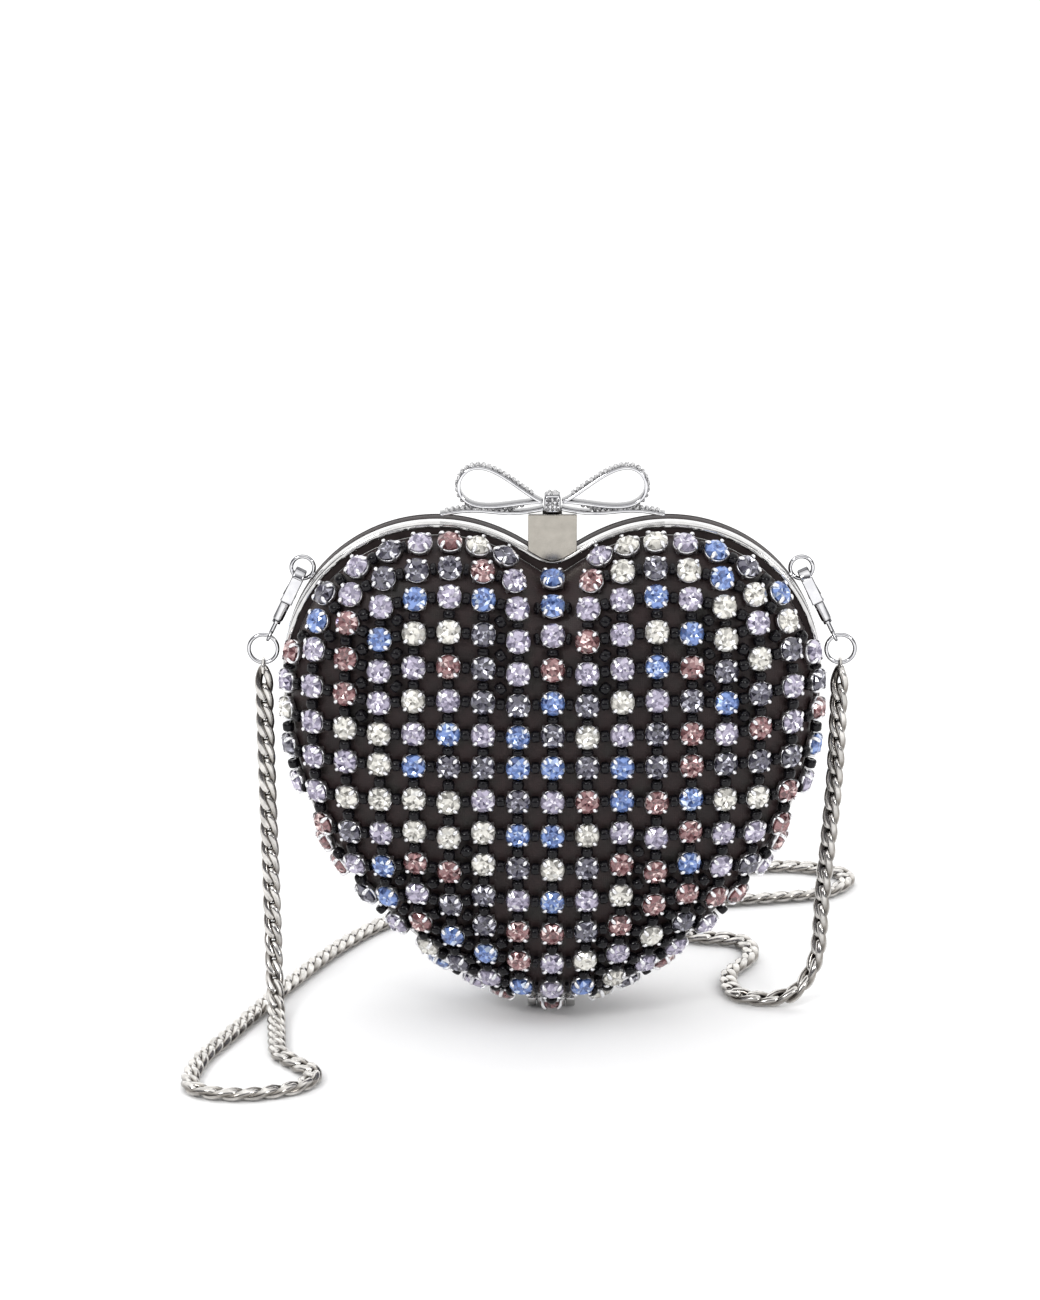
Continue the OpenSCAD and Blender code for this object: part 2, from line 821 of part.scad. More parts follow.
function bead_length(a, b) =
    let (m = on_dome((a + b) / 2), q = m + unit(slope(m)) * (net_gap + bead_d / 2), d = unit(b - a))
    min(bead_l, 2 * min(room_at(a, q, d), room_at(b, q, d)));

// A bead lies between each pair of near cups, written as its place, direction and length
near_pairs =
    [for (i = [0 : len(net_points) - 2], j = [i + 1 : len(net_points) - 1])
        let (a = net_points[i], b = net_points[j])
        if (norm(b - a) < link_most && bead_length(a, b) > bead_least)
            [(a + b) / 2, unit(b - a), bead_length(a, b)]];

// Where two threads would cross, only one of them carries a bead
function uncrossed(pairs, i, done) =
    i == len(pairs) ? done
        : uncrossed(pairs, i + 1,
            clear_of(pairs[i][0], [for (q = done) q[0]], bead_clear) ? concat(done, [pairs[i]]) : done);

bead_clear = norm([bead_d, bead_l]) + seat_gap;
net_beads = uncrossed(near_pairs, 0, []);

// In the hollow under the cleft a cup rests on the slopes beside it, so it sits higher
function rise_at(p) =
    let (n = unit(slope(p)), t = unit(up - n * (n * up)), b = cross(n, t))
    max([for (a = [0 : 45 : 315])
        let (q = p + (t * cos(a) + b * sin(a)) * cup_r)
        -field(q) / norm(slope(q))]);

// The back's net leaves out the row behind the top of the rim
back_share = 0.9;

function on_half(p, behind) =
    !behind || top_share(angle_at(p)) < back_share || p.y > edge_y(angle_at(p)) + back_bare;

net_lifts = [for (p = net_points) net_gap + rise_share * max(0, rise_at(p))];

module on_net(p, lift, d) {
    n = unit(slope(p));
    t = unit(d - n * (n * d));
    b = cross(n, t);
    q = p + n * lift;
    multmatrix([[t.x, b.x, n.x, q.x], [t.y, b.y, n.y, q.y], [t.z, b.z, n.z, q.z], [0, 0, 0, 1]])
        children();
}

module cup() {
    rotate_extrude($fn = round_fn)
        polygon([[0, 0], [cup_r, 0], [cup_r, cup_h], [cup_r - cup_wall, cup_h],
            [cup_r - cup_wall, cup_floor], [0, cup_floor]]);
}

module crystal() {
    rotate_extrude($fn = round_fn)
        polygon([[0, 0], [stone_d / 2, 0], [stone_d / 2, stone_h * girdle_share],
            [stone_d * table_share, stone_h], [0, stone_h]]);
}

module cups(behind) {
    color([0.75, 0.75, 0.77])
        for (i = [0 : len(net_points) - 1])
            if (on_half(net_points[i], behind))
                on_net(net_points[i], net_lifts[i], up)
                    cup();
}

module beads(behind) {
    color([0.05, 0.05, 0.05])
        for (b = net_beads)
            if (on_half(on_dome(b[0]), behind))
                on_net(on_dome(b[0]), net_gap + bead_d / 2, b[1])
                    along_x(bead_d / 2, b[2]);
}

// Crystals are set in five colours in a scattered order
tint_shares = [0, 0.19, 0.44, 0.64, 0.81, 1];
back_order = rands(0, 1, len(net_points), 7);
front_order = rands(0, 1, len(net_points), 3);

module crystals(order, tint, behind) {
    for (i = [0 : len(net_points) - 1])
        if (order[i] >= tint_shares[tint] && order[i] < tint_shares[tint + 1]
            && on_half(net_points[i], behind))
            on_net(net_points[i], net_lifts[i] + cup_floor, up)
                crystal();
}

tint_colors = [
    [0.35, 0.5, 0.85], [0.7, 0.66, 0.85], [0.6, 0.35, 0.42], [0.92, 0.9, 0.86], [0.28, 0.27, 0.36]];

module back_crystals(tint) {
    color(tint_colors[tint])
        crystals(back_order, tint, true);
}

module front_crystals(tint) {
    color(tint_colors[tint])
        front_side()
            crystals(front_order, tint, false);
}

module back_cups() cups(true);
module back_beads() beads(true);
module front_cups() front_side() cups(false);
module front_beads() front_side() beads(false);
module back_blue() back_crystals(0);
module back_lilac() back_crystals(1);
module back_rose() back_crystals(2);
module back_clear() back_crystals(3);
module back_smoke() back_crystals(4);
module front_blue() front_crystals(0);
module front_lilac() front_crystals(1);
module front_rose() front_crystals(2);
module front_clear() front_crystals(3);
module front_smoke() front_crystals(4);

// Chain: from the left end ring to the ground, round behind the bag and up to the right end ring

chain_route = [
    [-79.3, 3, 98], [-79, 3, 72], [-78.5, 3, 45], [-78, 2, 22], [-77.5, -3, 9.5],
    [-76.5, -13, 3.5], [-75.5, -27, 2.6], [-74, -41, 2.6], [-69, -49, 2.6], [-64, -57, 2.6],
    [-68, -66, 2.6], [-82, -71, 2.6], [-95, -66, 2.6], [-95, -48, 2.6], [-88, -27, 2.6],
    [-81, -6, 2.6], [-73, 16, 2.6], [-63, 41, 2.6], [-50, 64, 2.6], [-32, 84, 2.6],
    [-8, 99, 2.6], [20, 109, 2.6], [50, 115, 2.6], [76, 118, 2.6], [92, 109, 2.6],
    [86, 94, 2.6], [68, 88, 2.6], [50, 84, 2.6], [36, 76, 2.6], [32, 64, 2.6],
    [42, 53, 2.6], [56, 48, 2.6], [58, 35, 2.6], [51, 19, 2.6], [53, 3, 2.6],
    [65, -1, 3], [74, 2, 12], [76, 3, 34], [78.5, 3, 66], [79.3, 3, 98]];
chain_sides = 8;

function route_point(i) = chain_route[max(0, min(len(chain_route) - 1, i))];

function spline(i, f) =
    let (a = route_point(i - 1), b = route_point(i), c = route_point(i + 1), d = route_point(i + 2))
    let (m = (c - a) / 2, n = (d - b) / 2, f2 = f * f, f3 = f2 * f)
    b * (2 * f3 - 3 * f2 + 1) + m * (f3 - 2 * f2 + f) + c * (3 * f2 - 2 * f3) + n * (f3 - f2);

chain_line = concat(
    [for (i = [0 : len(chain_route) - 2], f = [0, 0.5])
        let (p = spline(i, f)) [p.x, p.y, max(p.z, chain_d / 2)]],
    [route_point(len(chain_route) - 1)]);

function chain_dir(i) =
    unit(chain_line[min(i + 1, len(chain_line) - 1)] - chain_line[max(i - 1, 0)]);

// The ring's side vector is carried along the line so that the tube doesn't twist
function chain_sidewise(i, v, done) =
    i == len(chain_line) ? done
        : let (d = chain_dir(i), w = unit(v - d * (v * d)))
            chain_sidewise(i + 1, w, concat(done, [w]));

chain_across = chain_sidewise(0, [0, 1, 0], []);
chain_l = [for (i = 0, s = 0; i < len(chain_line); s = s + (i < len(chain_line) - 1
    ? norm(chain_line[i + 1] - chain_line[i]) : 0), i = i + 1) s][len(chain_line) - 1];
echo(chain_length = chain_l);

module chain() {
    points = [for (i = [0 : len(chain_line) - 1], k = [0 : chain_sides - 1])
        let (w = chain_across[i], b = cross(chain_dir(i), w), a = 360 * k / chain_sides)
        chain_line[i] + (w * cos(a) + b * sin(a)) * chain_d / 2];
    last = (len(chain_line) - 1) * chain_sides;
    walls = [for (i = [0 : len(chain_line) - 2], k = [0 : chain_sides - 1])
        let (j = (k + 1) % chain_sides, a = i * chain_sides)
        each [[a + j, a + k, a + chain_sides + k], [a + j, a + chain_sides + k, a + chain_sides + j]]];
    ends = [[for (k = [0 : chain_sides - 1]) k],
        [for (k = [chain_sides - 1 : -1 : 0]) last + k]];
    color([0.75, 0.75, 0.76])
        polyhedron(points, concat(walls, ends));
}

back_shell();
back_lining();
back_rim();
hinge_pin();
clasp_housing();
clasp_pin();
clasp_spring();
front_shell();
front_lining();
front_rim();
clasp_plate();
clasp_lever();
bow_loop_left();
bow_loop_right();
bow_tail_left();
bow_tail_right();
bow_knot();
bow_crystals();
left_lug();
right_lug();
left_hook();
right_hook();
left_gate();
right_gate();
left_gate_pin();
right_gate_pin();
left_swivel();
right_swivel();
left_end_ring();
right_end_ring();
back_cups();
back_beads();
back_blue();
back_lilac();
back_rose();
back_clear();
back_smoke();
front_cups();
front_beads();
front_blue();
front_lilac();
front_rose();
front_clear();
front_smoke();
chain();
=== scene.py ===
# %% [markdown]
# # A crystal heart clutch
# This lesson dresses the solid model of a small evening bag. The solids give each piece its
# exact place and size. Blender adds what the eye looks for: cut facets on the crystals, claws
# on their cups, glossy beads, real chain links, satin under the net and polished metal.
# Everything is in metres. Most sizes below are written in millimetres and turned with MM.

# %% Load the solid model
import bpy
import math
import numpy as np
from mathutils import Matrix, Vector


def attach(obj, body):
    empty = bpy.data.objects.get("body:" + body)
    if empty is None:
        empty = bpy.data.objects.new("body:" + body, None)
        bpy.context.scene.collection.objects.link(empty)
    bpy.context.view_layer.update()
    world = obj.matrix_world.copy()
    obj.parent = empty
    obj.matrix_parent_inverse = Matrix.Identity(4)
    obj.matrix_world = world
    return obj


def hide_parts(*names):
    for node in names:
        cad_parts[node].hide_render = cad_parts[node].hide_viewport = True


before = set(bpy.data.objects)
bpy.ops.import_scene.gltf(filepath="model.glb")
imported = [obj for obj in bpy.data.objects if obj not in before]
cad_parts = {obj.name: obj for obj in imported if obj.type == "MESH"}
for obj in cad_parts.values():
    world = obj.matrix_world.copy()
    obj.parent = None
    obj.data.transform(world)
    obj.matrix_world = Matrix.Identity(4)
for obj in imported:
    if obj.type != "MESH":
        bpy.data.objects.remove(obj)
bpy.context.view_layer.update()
MM = 0.001
scene = bpy.context.scene

# %% [markdown]
# ## The camera
# The photograph was taken from a little above, with a long lens, so that the heart keeps its
# shape. The links of the chain look about a quarter as deep as they are wide where they lie on
# the table, which tells the height: 15 degrees. One pixel is 0.274 mm at the bag.

# %% Place the camera
PHOTO_HEIGHT, FILM_WIDTH = 1300, 36
mm_per_pixel = 0.274
view_distance = 1000.0
view_height = math.radians(15)
view_target = Vector((-8.77, 0, 103.2)) * MM

camera_data = bpy.data.cameras.new("bag_camera")
camera_data.sensor_width = FILM_WIDTH
camera_data.lens = FILM_WIDTH * view_distance / (mm_per_pixel * PHOTO_HEIGHT)
camera = bpy.data.objects.new("bag_camera", camera_data)
scene.collection.objects.link(camera)
towards_camera = Vector((0, -math.cos(view_height), math.sin(view_height)))
camera.location = view_target + towards_camera * view_distance * MM
camera.rotation_euler = (math.pi / 2 - view_height, 0, 0)
scene.camera = camera
print("lens:", round(camera_data.lens, 1), "mm")

# %% [markdown]
# ## Helpers for meshes
# Almost every piece here is the same small shape set down many times. It is quicker to keep a
# shape as plain arrays of points and faces, copy them with numpy, and hand Blender one mesh at
# the end, than to make hundreds of objects.

# %% Turn arrays of points and faces into a piece
def make_piece(name, points, faces, body, smooth=True, slot=None):
    mesh = bpy.data.meshes.new(name)
    mesh.from_pydata([tuple(p) for p in np.asarray(points, float) * MM], [], faces)
    mesh.validate()
    mesh.update()
    if smooth:
        mesh.shade_smooth()
    piece = bpy.data.objects.new(name, mesh)
    scene.collection.objects.link(piece)
    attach(piece, body)
    return piece


def joined(shapes):
    """Puts several (points, faces) shapes into one."""
    points, faces, start = [], [], 0
    for shape_points, shape_faces in shapes:
        points.append(np.asarray(shape_points, float))
        faces += [tuple(i + start for i in face) for face in shape_faces]
        start += len(shape_points)
    return np.concatenate(points), faces


def copies(shape, places):
    """Sets a shape down at each place, a 4 x 4 matrix in millimetres."""
    points, faces = shape
    points = np.c_[np.asarray(points, float), np.ones(len(points))]
    return joined([((points @ np.asarray(m).T)[:, :3], faces) for m in places])


# %% Shapes that are turned, swept or bent from a wire
def grid_faces(rows, columns, close_rows=False):
    """Four-sided faces between rows of points; each row is a closed ring."""
    faces = []
    for i in range(rows if close_rows else rows - 1):
        a, b = i * columns, ((i + 1) % rows) * columns
        for k in range(columns):
            j = (k + 1) % columns
            faces.append((a + k, a + j, b + j, b + k))
    return faces


def turned_over(faces):
    """The same faces, seen from their other side."""
    return [face[::-1] for face in faces]


def bore_faces(rings, sides):
    """The wall of a straight hole that joins the first and last ring of a turned shape."""
    far = (rings - 1) * sides
    return [(j, (j + 1) % sides, far + (j + 1) % sides, far + j) for j in range(sides)]


def end_faces(rows, columns):
    """The two flat ends of a swept shape."""
    last = (rows - 1) * columns
    return [tuple(range(columns))[::-1], tuple(last + k for k in range(columns))]


def mirrored(shape):
    """The same shape on the other side of the middle plane."""
    return shape[0] * (-1, 1, 1), turned_over(shape[1])


def turned(profile, sides):
    """Turns a profile of (radius, height) points about Z."""
    around = 2 * math.pi * np.arange(sides) / sides
    points = [(r * math.cos(a), r * math.sin(a), z) for r, z in profile for a in around]
    return np.array(points), turned_over(grid_faces(len(profile), sides))


def unit(v):
    return np.asarray(v, float) / np.linalg.norm(v)


def unit_rows(rows):
    return rows / np.linalg.norm(rows, axis=1)[:, None]


def carried_sideways(line, first, closed=False):
    """Directions along a line, and a side direction carried along it without twist."""
    if closed:
        along = np.roll(line, -1, 0) - np.roll(line, 1, 0)
    else:
        along = np.gradient(line, axis=0)
    along = unit_rows(along)
    sideways, v = [], np.asarray(first, float)
    for d in along:
        v = unit(v - d * (d @ v))
        sideways.append(v)
    return along, np.array(sideways)


def closed_wire(line, radius, sides=8, first=(0, 0, 1)):
    """A round wire that is bent round a closed line."""
    along, side = carried_sideways(line, first, closed=True)
    other = np.cross(along, side)
    points = [p + radius * (math.cos(a) * s + math.sin(a) * o)
              for p, s, o in zip(line, side, other)
              for a in 2 * math.pi * np.arange(sides) / sides]
    return np.array(points), grid_faces(len(line), sides, close_rows=True)


# %% [markdown]
# ## The chain
# It is a curb chain: every link is an oval that has been twisted, so that the links lock into
# each other and lie flat. The real one is a fixed length of something limp, so its line comes
# first: down from the left end ring, over the table, round behind the bag, and up to the right
# end ring. The points repeat the route of the solid tube. Near the table the links lie lower
# than the tube's middle, because a curb chain is flatter than it is wide, and a link that would
# dip into the table is lifted onto it.

# %% The line that the chain follows
CHAIN_WIDTH = 5.2
LINK_DROP, DROP_HEIGHT = 1.1, 8.0
STEPS_PER_POINT = 8
chain_route = np.array([
    (-79.3, 3, 98), (-79, 3, 72), (-78.5, 3, 45), (-78, 2, 22), (-77.5, -3, 9.5),
    (-76.5, -13, 3.5), (-75.5, -27, 2.6), (-74, -41, 2.6), (-69, -49, 2.6), (-64, -57, 2.6),
    (-68, -66, 2.6), (-82, -71, 2.6), (-95, -66, 2.6), (-95, -48, 2.6), (-88, -27, 2.6),
    (-81, -6, 2.6), (-73, 16, 2.6), (-63, 41, 2.6), (-50, 64, 2.6), (-32, 84, 2.6),
    (-8, 99, 2.6), (20, 109, 2.6), (50, 115, 2.6), (76, 118, 2.6), (92, 109, 2.6),
    (86, 94, 2.6), (68, 88, 2.6), (50, 84, 2.6), (36, 76, 2.6), (32, 64, 2.6),
    (42, 53, 2.6), (56, 48, 2.6), (58, 35, 2.6), (51, 19, 2.6), (53, 3, 2.6),
    (65, -1, 3), (74, 2, 12), (76, 3, 34), (78.5, 3, 66), (79.3, 3, 98)], float)


def smooth_line(route, steps):
    """A smooth curve through the route's points."""
    ends = np.concatenate([route[:1], route, route[-1:]])
    line = []
    for a, b, c, d in zip(ends, ends[1:], ends[2:], ends[3:]):
        m, n = (c - a) / 2, (d - b) / 2
        for f in np.arange(steps) / steps:
            line.append(b * (2 * f**3 - 3 * f**2 + 1) + m * (f**3 - 2 * f**2 + f)
                        + c * (3 * f**2 - 2 * f**3) + n * (f**3 - f**2))
    return np.array(line + [route[-1]])


chain_line = smooth_line(chain_route, STEPS_PER_POINT)
chain_line[:, 2] = np.maximum(chain_line[:, 2], CHAIN_WIDTH / 2)
over_table = (chain_line[:, 2] - CHAIN_WIDTH / 2) / DROP_HEIGHT
chain_line[:, 2] -= LINK_DROP * np.clip(1 - over_table, 0, 1)
chain_steps = np.linalg.norm(np.diff(chain_line, axis=0), axis=1)
chain_run = np.r_[0, np.cumsum(chain_steps)]
print("chain length:", round(chain_run[-1]), "mm")

# %% One curb link
LINK_PITCH = 5.3
link_half_length, link_half_width = 4.25, 1.52
link_wire = 1.08
link_twist = math.radians(-50)
link_half_flat = 1.45
link_steps, wire_sides = 30, 9

t = 2 * math.pi * np.arange(link_steps) / link_steps
link_x = link_half_length * np.cos(t)
link_y = link_half_width * np.sin(t)
turn = link_twist * link_x / link_half_length
link_line = np.stack([link_x, link_y * np.cos(turn), link_y * np.sin(turn)], 1)
curb_link = closed_wire(link_line, link_wire, sides=wire_sides)
wire_middle = np.repeat(link_line, wire_sides, 0)
link_outward = ((curb_link[0] - wire_middle) * unit_rows(wire_middle)).sum(1)
# Painted shade: the share is low where the wire faces into the link and on its sides, and full on the
# flats; the chain's colour is darkened by it.
link_shade_share = np.clip(0.2 + 0.3 * link_outward / link_wire + 0.5 * np.abs(curb_link[0][:, 2]), 0, 1)
curb_link[0][:, 2] = np.clip(curb_link[0][:, 2], -link_half_flat, link_half_flat)
print("one link:", len(curb_link[0]), "points, width",
      round(float(np.ptp(curb_link[0][:, 1])), 2), "mm")

# %% Set the links along the line
# The chain turns a little about its own line where it hangs at the right, as the photo shows.
chain_along, chain_side = carried_sideways(chain_line, (1, 0, 0))
first_link = 4.9
link_count = int((chain_run[-1] - 2 * first_link) / LINK_PITCH)
link_gap = (chain_run[-1] - 2 * first_link) / link_count
right_rise = 105.0
right_turn = math.radians(50)
link_places = []
for k in range(link_count + 1):
    run = first_link + k * link_gap
    at = np.array([np.interp(run, chain_run, chain_line[:, i]) for i in range(3)])
    x = unit([np.interp(run, chain_run, chain_along[:, i]) for i in range(3)])
    y = np.array([np.interp(run, chain_run, chain_side[:, i]) for i in range(3)])
    y = unit(y - x * (x @ y))
    z = np.cross(x, y)
    a = right_turn * min(1, max(0, 1 - (chain_run[-1] - run) / right_rise))
    y, z = y * math.cos(a) + z * math.sin(a), z * math.cos(a) - y * math.sin(a)
    place = np.eye(4)
    place[:3, 0], place[:3, 1], place[:3, 2], place[:3, 3] = x, y, z, at
    lowest = at[2] + (curb_link[0] @ place[2, :3]).min()
    place[2, 3] += max(0, -lowest)
    link_places.append(place)

end_link_radius, end_link_wire, end_link_steps = 2.1, 0.5, 28
end_link_sink = 0.19
t = 2 * math.pi * np.arange(end_link_steps) / end_link_steps
end_link_line = end_link_radius * np.stack([0 * t, np.cos(t), np.sin(t)], 1)
end_links = [closed_wire(end_link_line + end - (0, 0, end_link_sink), end_link_wire, first=(1, 0, 0))
             for end in (chain_route[0], chain_route[-1])]
chain_shape = joined([copies(curb_link, link_places)] + end_links)
curb_chain = make_piece("curb_chain", *chain_shape, "back_half", slot="chain_metal")
# The links carry this painted shade; the end links keep their full colour.
chain_shade_share = np.ones(len(chain_shape[0]), np.float32)
chain_shade_share[:len(link_places) * len(link_shade_share)] = np.tile(link_shade_share, len(link_places))
curb_chain.data.attributes.new("chain_shade_share", "FLOAT", "POINT").data.foreach_set("value", chain_shade_share)
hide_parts("chain")
print(len(link_places), "links")

# %% [markdown]
# ## Finishes
# One helper makes every metal: a polished surface is never perfectly even, so a fine noise
# moves its roughness a little, and a second one, stretched into hair lines, lifts the surface
# by a few microns. Thin chrome in a white room mirrors white with its front and the dark ends of
# the room with its outline; on the wires and the bow this is also a painted reflection, a colour
# that grows dark towards their edges as they turn away from the viewer. The chain's colour carries
# painted shade: dark in its crevices and on the sides of its wires, full on the flats of the links,
# as a point attribute says. Glass and cloth get helpers of their own where they are needed.

# %% A small language for node trees
def new_finish(name):
    material = bpy.data.materials.new(name)
    material.use_nodes = True
    nodes, links = material.node_tree.nodes, material.node_tree.links
    shader = nodes["Principled BSDF"]
    return material, nodes, links, shader


def object_noise(nodes, links, size_mm, detail=3, stretch=(1, 1, 1)):
    """Noise whose grains have a real size."""
    place = nodes.new("ShaderNodeTexCoord")
    spread = nodes.new("ShaderNodeMapping")
    spread.inputs["Scale"].default_value = stretch
    noise = nodes.new("ShaderNodeTexNoise")
    noise.inputs["Scale"].default_value = 1 / (size_mm * MM)
    noise.inputs["Detail"].default_value = detail
    links.new(place.outputs["Object"], spread.inputs["Vector"])
    links.new(spread.outputs["Vector"], noise.inputs["Vector"])
    return noise.outputs["Fac"]


def ramp(nodes, links, value, stops):
    """Colours chosen by a value from 0 to 1."""
    node = nodes.new("ShaderNodeValToRGB")
    while len(node.color_ramp.elements) < len(stops):
        node.color_ramp.elements.new(0.5)
    for element, (at, colour) in zip(node.color_ramp.elements, stops):
        element.position = at
        element.color = (*colour, 1)
    links.new(value, node.inputs["Fac"])
    return node.outputs["Color"]


def between(nodes, links, value, low, high):
    node = nodes.new("ShaderNodeMapRange")
    node.inputs["To Min"].default_value = low
    node.inputs["To Max"].default_value = high
    links.new(value, node.inputs["Value"])
    return node.outputs["Result"]


def raised(nodes, links, shader, value, strength, height_mm):
    bump = nodes.new("ShaderNodeBump")
    bump.inputs["Strength"].default_value = strength
    bump.inputs["Distance"].default_value = height_mm * MM
    links.new(value, bump.inputs["Height"])
    links.new(bump.outputs["Normal"], shader.inputs["Normal"])


# %% Polished metal
def times(nodes, links, first, second):
    node = nodes.new("ShaderNodeMix")
    node.data_type, node.blend_type = "RGBA", "MULTIPLY"
    node.inputs["Factor"].default_value = 1
    links.new(first, node.inputs["A"])
    links.new(second, node.inputs["B"])
    return node.outputs["Result"]


def polished_metal(name, colour, dull, smooth=0.05, rough=0.16, outline=None, painted_shade_stops=None):
    """colour is the clean metal, dull the same metal where it is touched and aired."""
    material, nodes, links, shader = new_finish(name)
    shader.inputs["Metallic"].default_value = 1.0
    clouds = object_noise(nodes, links, 3.0)
    tone = ramp(nodes, links, clouds, [(0.35, dull), (0.65, colour)])
    # Painted reflection: the colour is darkened where the surface turns away from the viewer, standing
    # for the dark ends of the room mirrored at the edges.
    if outline:
        edge = nodes.new("ShaderNodeLayerWeight")
        tone = times(nodes, links, tone, ramp(nodes, links, edge.outputs["Facing"], outline))
    # Painted shade: a point attribute darkens the colour in crevices and on the sides of wires.
    if painted_shade_stops:
        share = nodes.new("ShaderNodeAttribute")
        share.attribute_name = "chain_shade_share"
        tone = times(nodes, links, tone, ramp(nodes, links, share.outputs["Fac"], painted_shade_stops))
    links.new(tone, shader.inputs["Base Color"])
    grains = object_noise(nodes, links, 0.8)
    links.new(between(nodes, links, grains, smooth, rough), shader.inputs["Roughness"])
    hairs = object_noise(nodes, links, 0.5, stretch=(1, 6, 1))
    raised(nodes, links, shader, hairs, 0.08, 0.02)
    return material


silver = polished_metal("polished_silver", (0.6, 0.595, 0.585), (0.48, 0.475, 0.47))
# The wires, hooks and the bow carry this painted reflection, dark towards their edges.
wire_silver = polished_metal(
    "wire_silver", (0.7, 0.7, 0.71), (0.58, 0.58, 0.6),
    outline=[(0.06, (1, 1, 1)), (0.28, (0.42, 0.42, 0.43)), (0.6, (0.1, 0.1, 0.11))])
# The chain's colour darkens its crevices and wire sides as painted shade.
chain_silver = polished_metal(
    "chain_silver", (0.72, 0.7, 0.67), (0.48, 0.465, 0.445), 0.12, 0.26,
    painted_shade_stops=[(0.2, (0.06, 0.055, 0.05)), (0.55, (0.4, 0.38, 0.36)), (0.9, (1, 1, 1))])
cup_silver = polished_metal("cup_silver", (0.93, 0.93, 0.94), (0.8, 0.8, 0.82), 0.26, 0.4)
plate_silver = polished_metal("plate_silver", (0.4, 0.375, 0.335), (0.34, 0.32, 0.285), 0.2, 0.3)
dark_steel = polished_metal("pin_steel", (0.55, 0.55, 0.57), (0.4, 0.4, 0.42), 0.2, 0.35)
curb_chain.data.materials.append(chain_silver)
print("metals:", silver.name, wire_silver.name, chain_silver.name, cup_silver.name, plate_silver.name)

# %% A smooth dark finish for the back half of the rim, also used as painted shade in the rim's channel
dark_rim_and_shade_fill, nodes, links, shader = new_finish("dark_rim_and_channel_shade")
shader.inputs["IOR"].default_value = 1.12
clouds = object_noise(nodes, links, 4.0)
depths = ramp(nodes, links, clouds, [(0.3, (0.026, 0.02, 0.02)), (0.7, (0.042, 0.033, 0.032))])
links.new(depths, shader.inputs["Base Color"])
links.new(between(nodes, links, object_noise(nodes, links, 0.7), 0.35, 0.5), shader.inputs["Roughness"])

# %% Dark satin over the shells
# Satin is woven so that long floating threads catch the light. Two sets of fine waves cross
# for the weave, and a slow noise shifts the colour between warm and cool.
satin, nodes, links, shader = new_finish("dark_satin")
shader.inputs["Specular IOR Level"].default_value = 0.25
shader.inputs["Sheen Weight"].default_value = 0.03
shader.inputs["Sheen Roughness"].default_value = 0.4
place = nodes.new("ShaderNodeTexCoord")
threads = []
for direction in ("X", "Z"):
    wave = nodes.new("ShaderNodeTexWave")
    wave.bands_direction = direction
    wave.inputs["Scale"].default_value = 1 / (1.6 * MM)
    wave.inputs["Distortion"].default_value = 0.6
    links.new(place.outputs["Object"], wave.inputs["Vector"])
    threads.append(wave.outputs["Fac"])
weave = nodes.new("ShaderNodeMath")
weave.operation = "MULTIPLY"
links.new(threads[0], weave.inputs[0])
links.new(threads[1], weave.inputs[1])
raised(nodes, links, shader, weave.outputs["Value"], 0.5, 0.08)
hue = object_noise(nodes, links, 9.0, detail=2)
tones = ramp(nodes, links, hue, [
    (0.3, (0.018, 0.0125, 0.0125)), (0.5, (0.028, 0.0165, 0.0165)), (0.7, (0.019, 0.0165, 0.015))])
links.new(tones, shader.inputs["Base Color"])
links.new(between(nodes, links, weave.outputs["Value"], 0.42, 0.6), shader.inputs["Roughness"])

# %% Soft lining cloth
suede, nodes, links, shader = new_finish("lining_suede")
shader.inputs["Sheen Weight"].default_value = 0.5
nap = object_noise(nodes, links, 0.5, detail=6)
tones = ramp(nodes, links, object_noise(nodes, links, 12.0), [
    (0.3, (0.085, 0.075, 0.08)), (0.7, (0.12, 0.105, 0.11))])
links.new(tones, shader.inputs["Base Color"])
links.new(between(nodes, links, nap, 0.8, 0.98), shader.inputs["Roughness"])
raised(nodes, links, shader, nap, 0.4, 0.15)
print("cloths:", satin.name, suede.name)

# %% [markdown]
# ## The heart
# The outline is drawn round the middle of the dome: straight lines run out from there, and
# each one meets either a round lobe or the long side curve. The shells, the linings and the
# rim all use it. The dome itself is a rounded box shape: flat in the middle, steep at the rim.

# %% The outline and the dome
HEART_WIDTH, LOBE_RADIUS, SIDE_RADIUS = 147.0, 41.5, 98.0
DOME_HEIGHT, LOBE_HEIGHT, SOFTNESS = 75.0, 98.5, 5.0
SHELL_DEPTH, SHELL_WALL, LINING_WALL, LINING_GAP = 27.0, 1.6, 0.8, 0.3
RIM_DEPTH, RIM_WIDTH, RIM_LIP, RIM_GAP = 6.0, 3.2, 1.2, 0.3
TOP_DROP = 2.4
DOME_POWER = 2.4
lobe_x, side_x = HEART_WIDTH / 2 - LOBE_RADIUS, HEART_WIDTH / 2 - SIDE_RADIUS
lobe_up = LOBE_HEIGHT - DOME_HEIGHT
soft_share = SOFTNESS / (lobe_up + LOBE_RADIUS)


def outline(angle):
    """Distance from the dome's middle to the outline, at an angle from straight up."""
    raw = math.hypot(math.sin(angle), soft_share)
    size = math.hypot(raw, math.cos(angle))
    s, c = raw / size, math.cos(angle) / size

    def far_side(x, z, r):
        b = s * x + c * z
        return b + math.sqrt(b * b - x * x - z * z + r * r)

    low = far_side(side_x, lobe_up, SIDE_RADIUS)
    return low if low * c < lobe_up else far_side(lobe_x, lobe_up, LOBE_RADIUS)


def inner_outline(angle):
    """The shells start lower than the rim along its top, and level with it at its sides."""
    t = max(0, math.cos(angle))
    return outline(angle) - TOP_DROP * t * (2 - t)


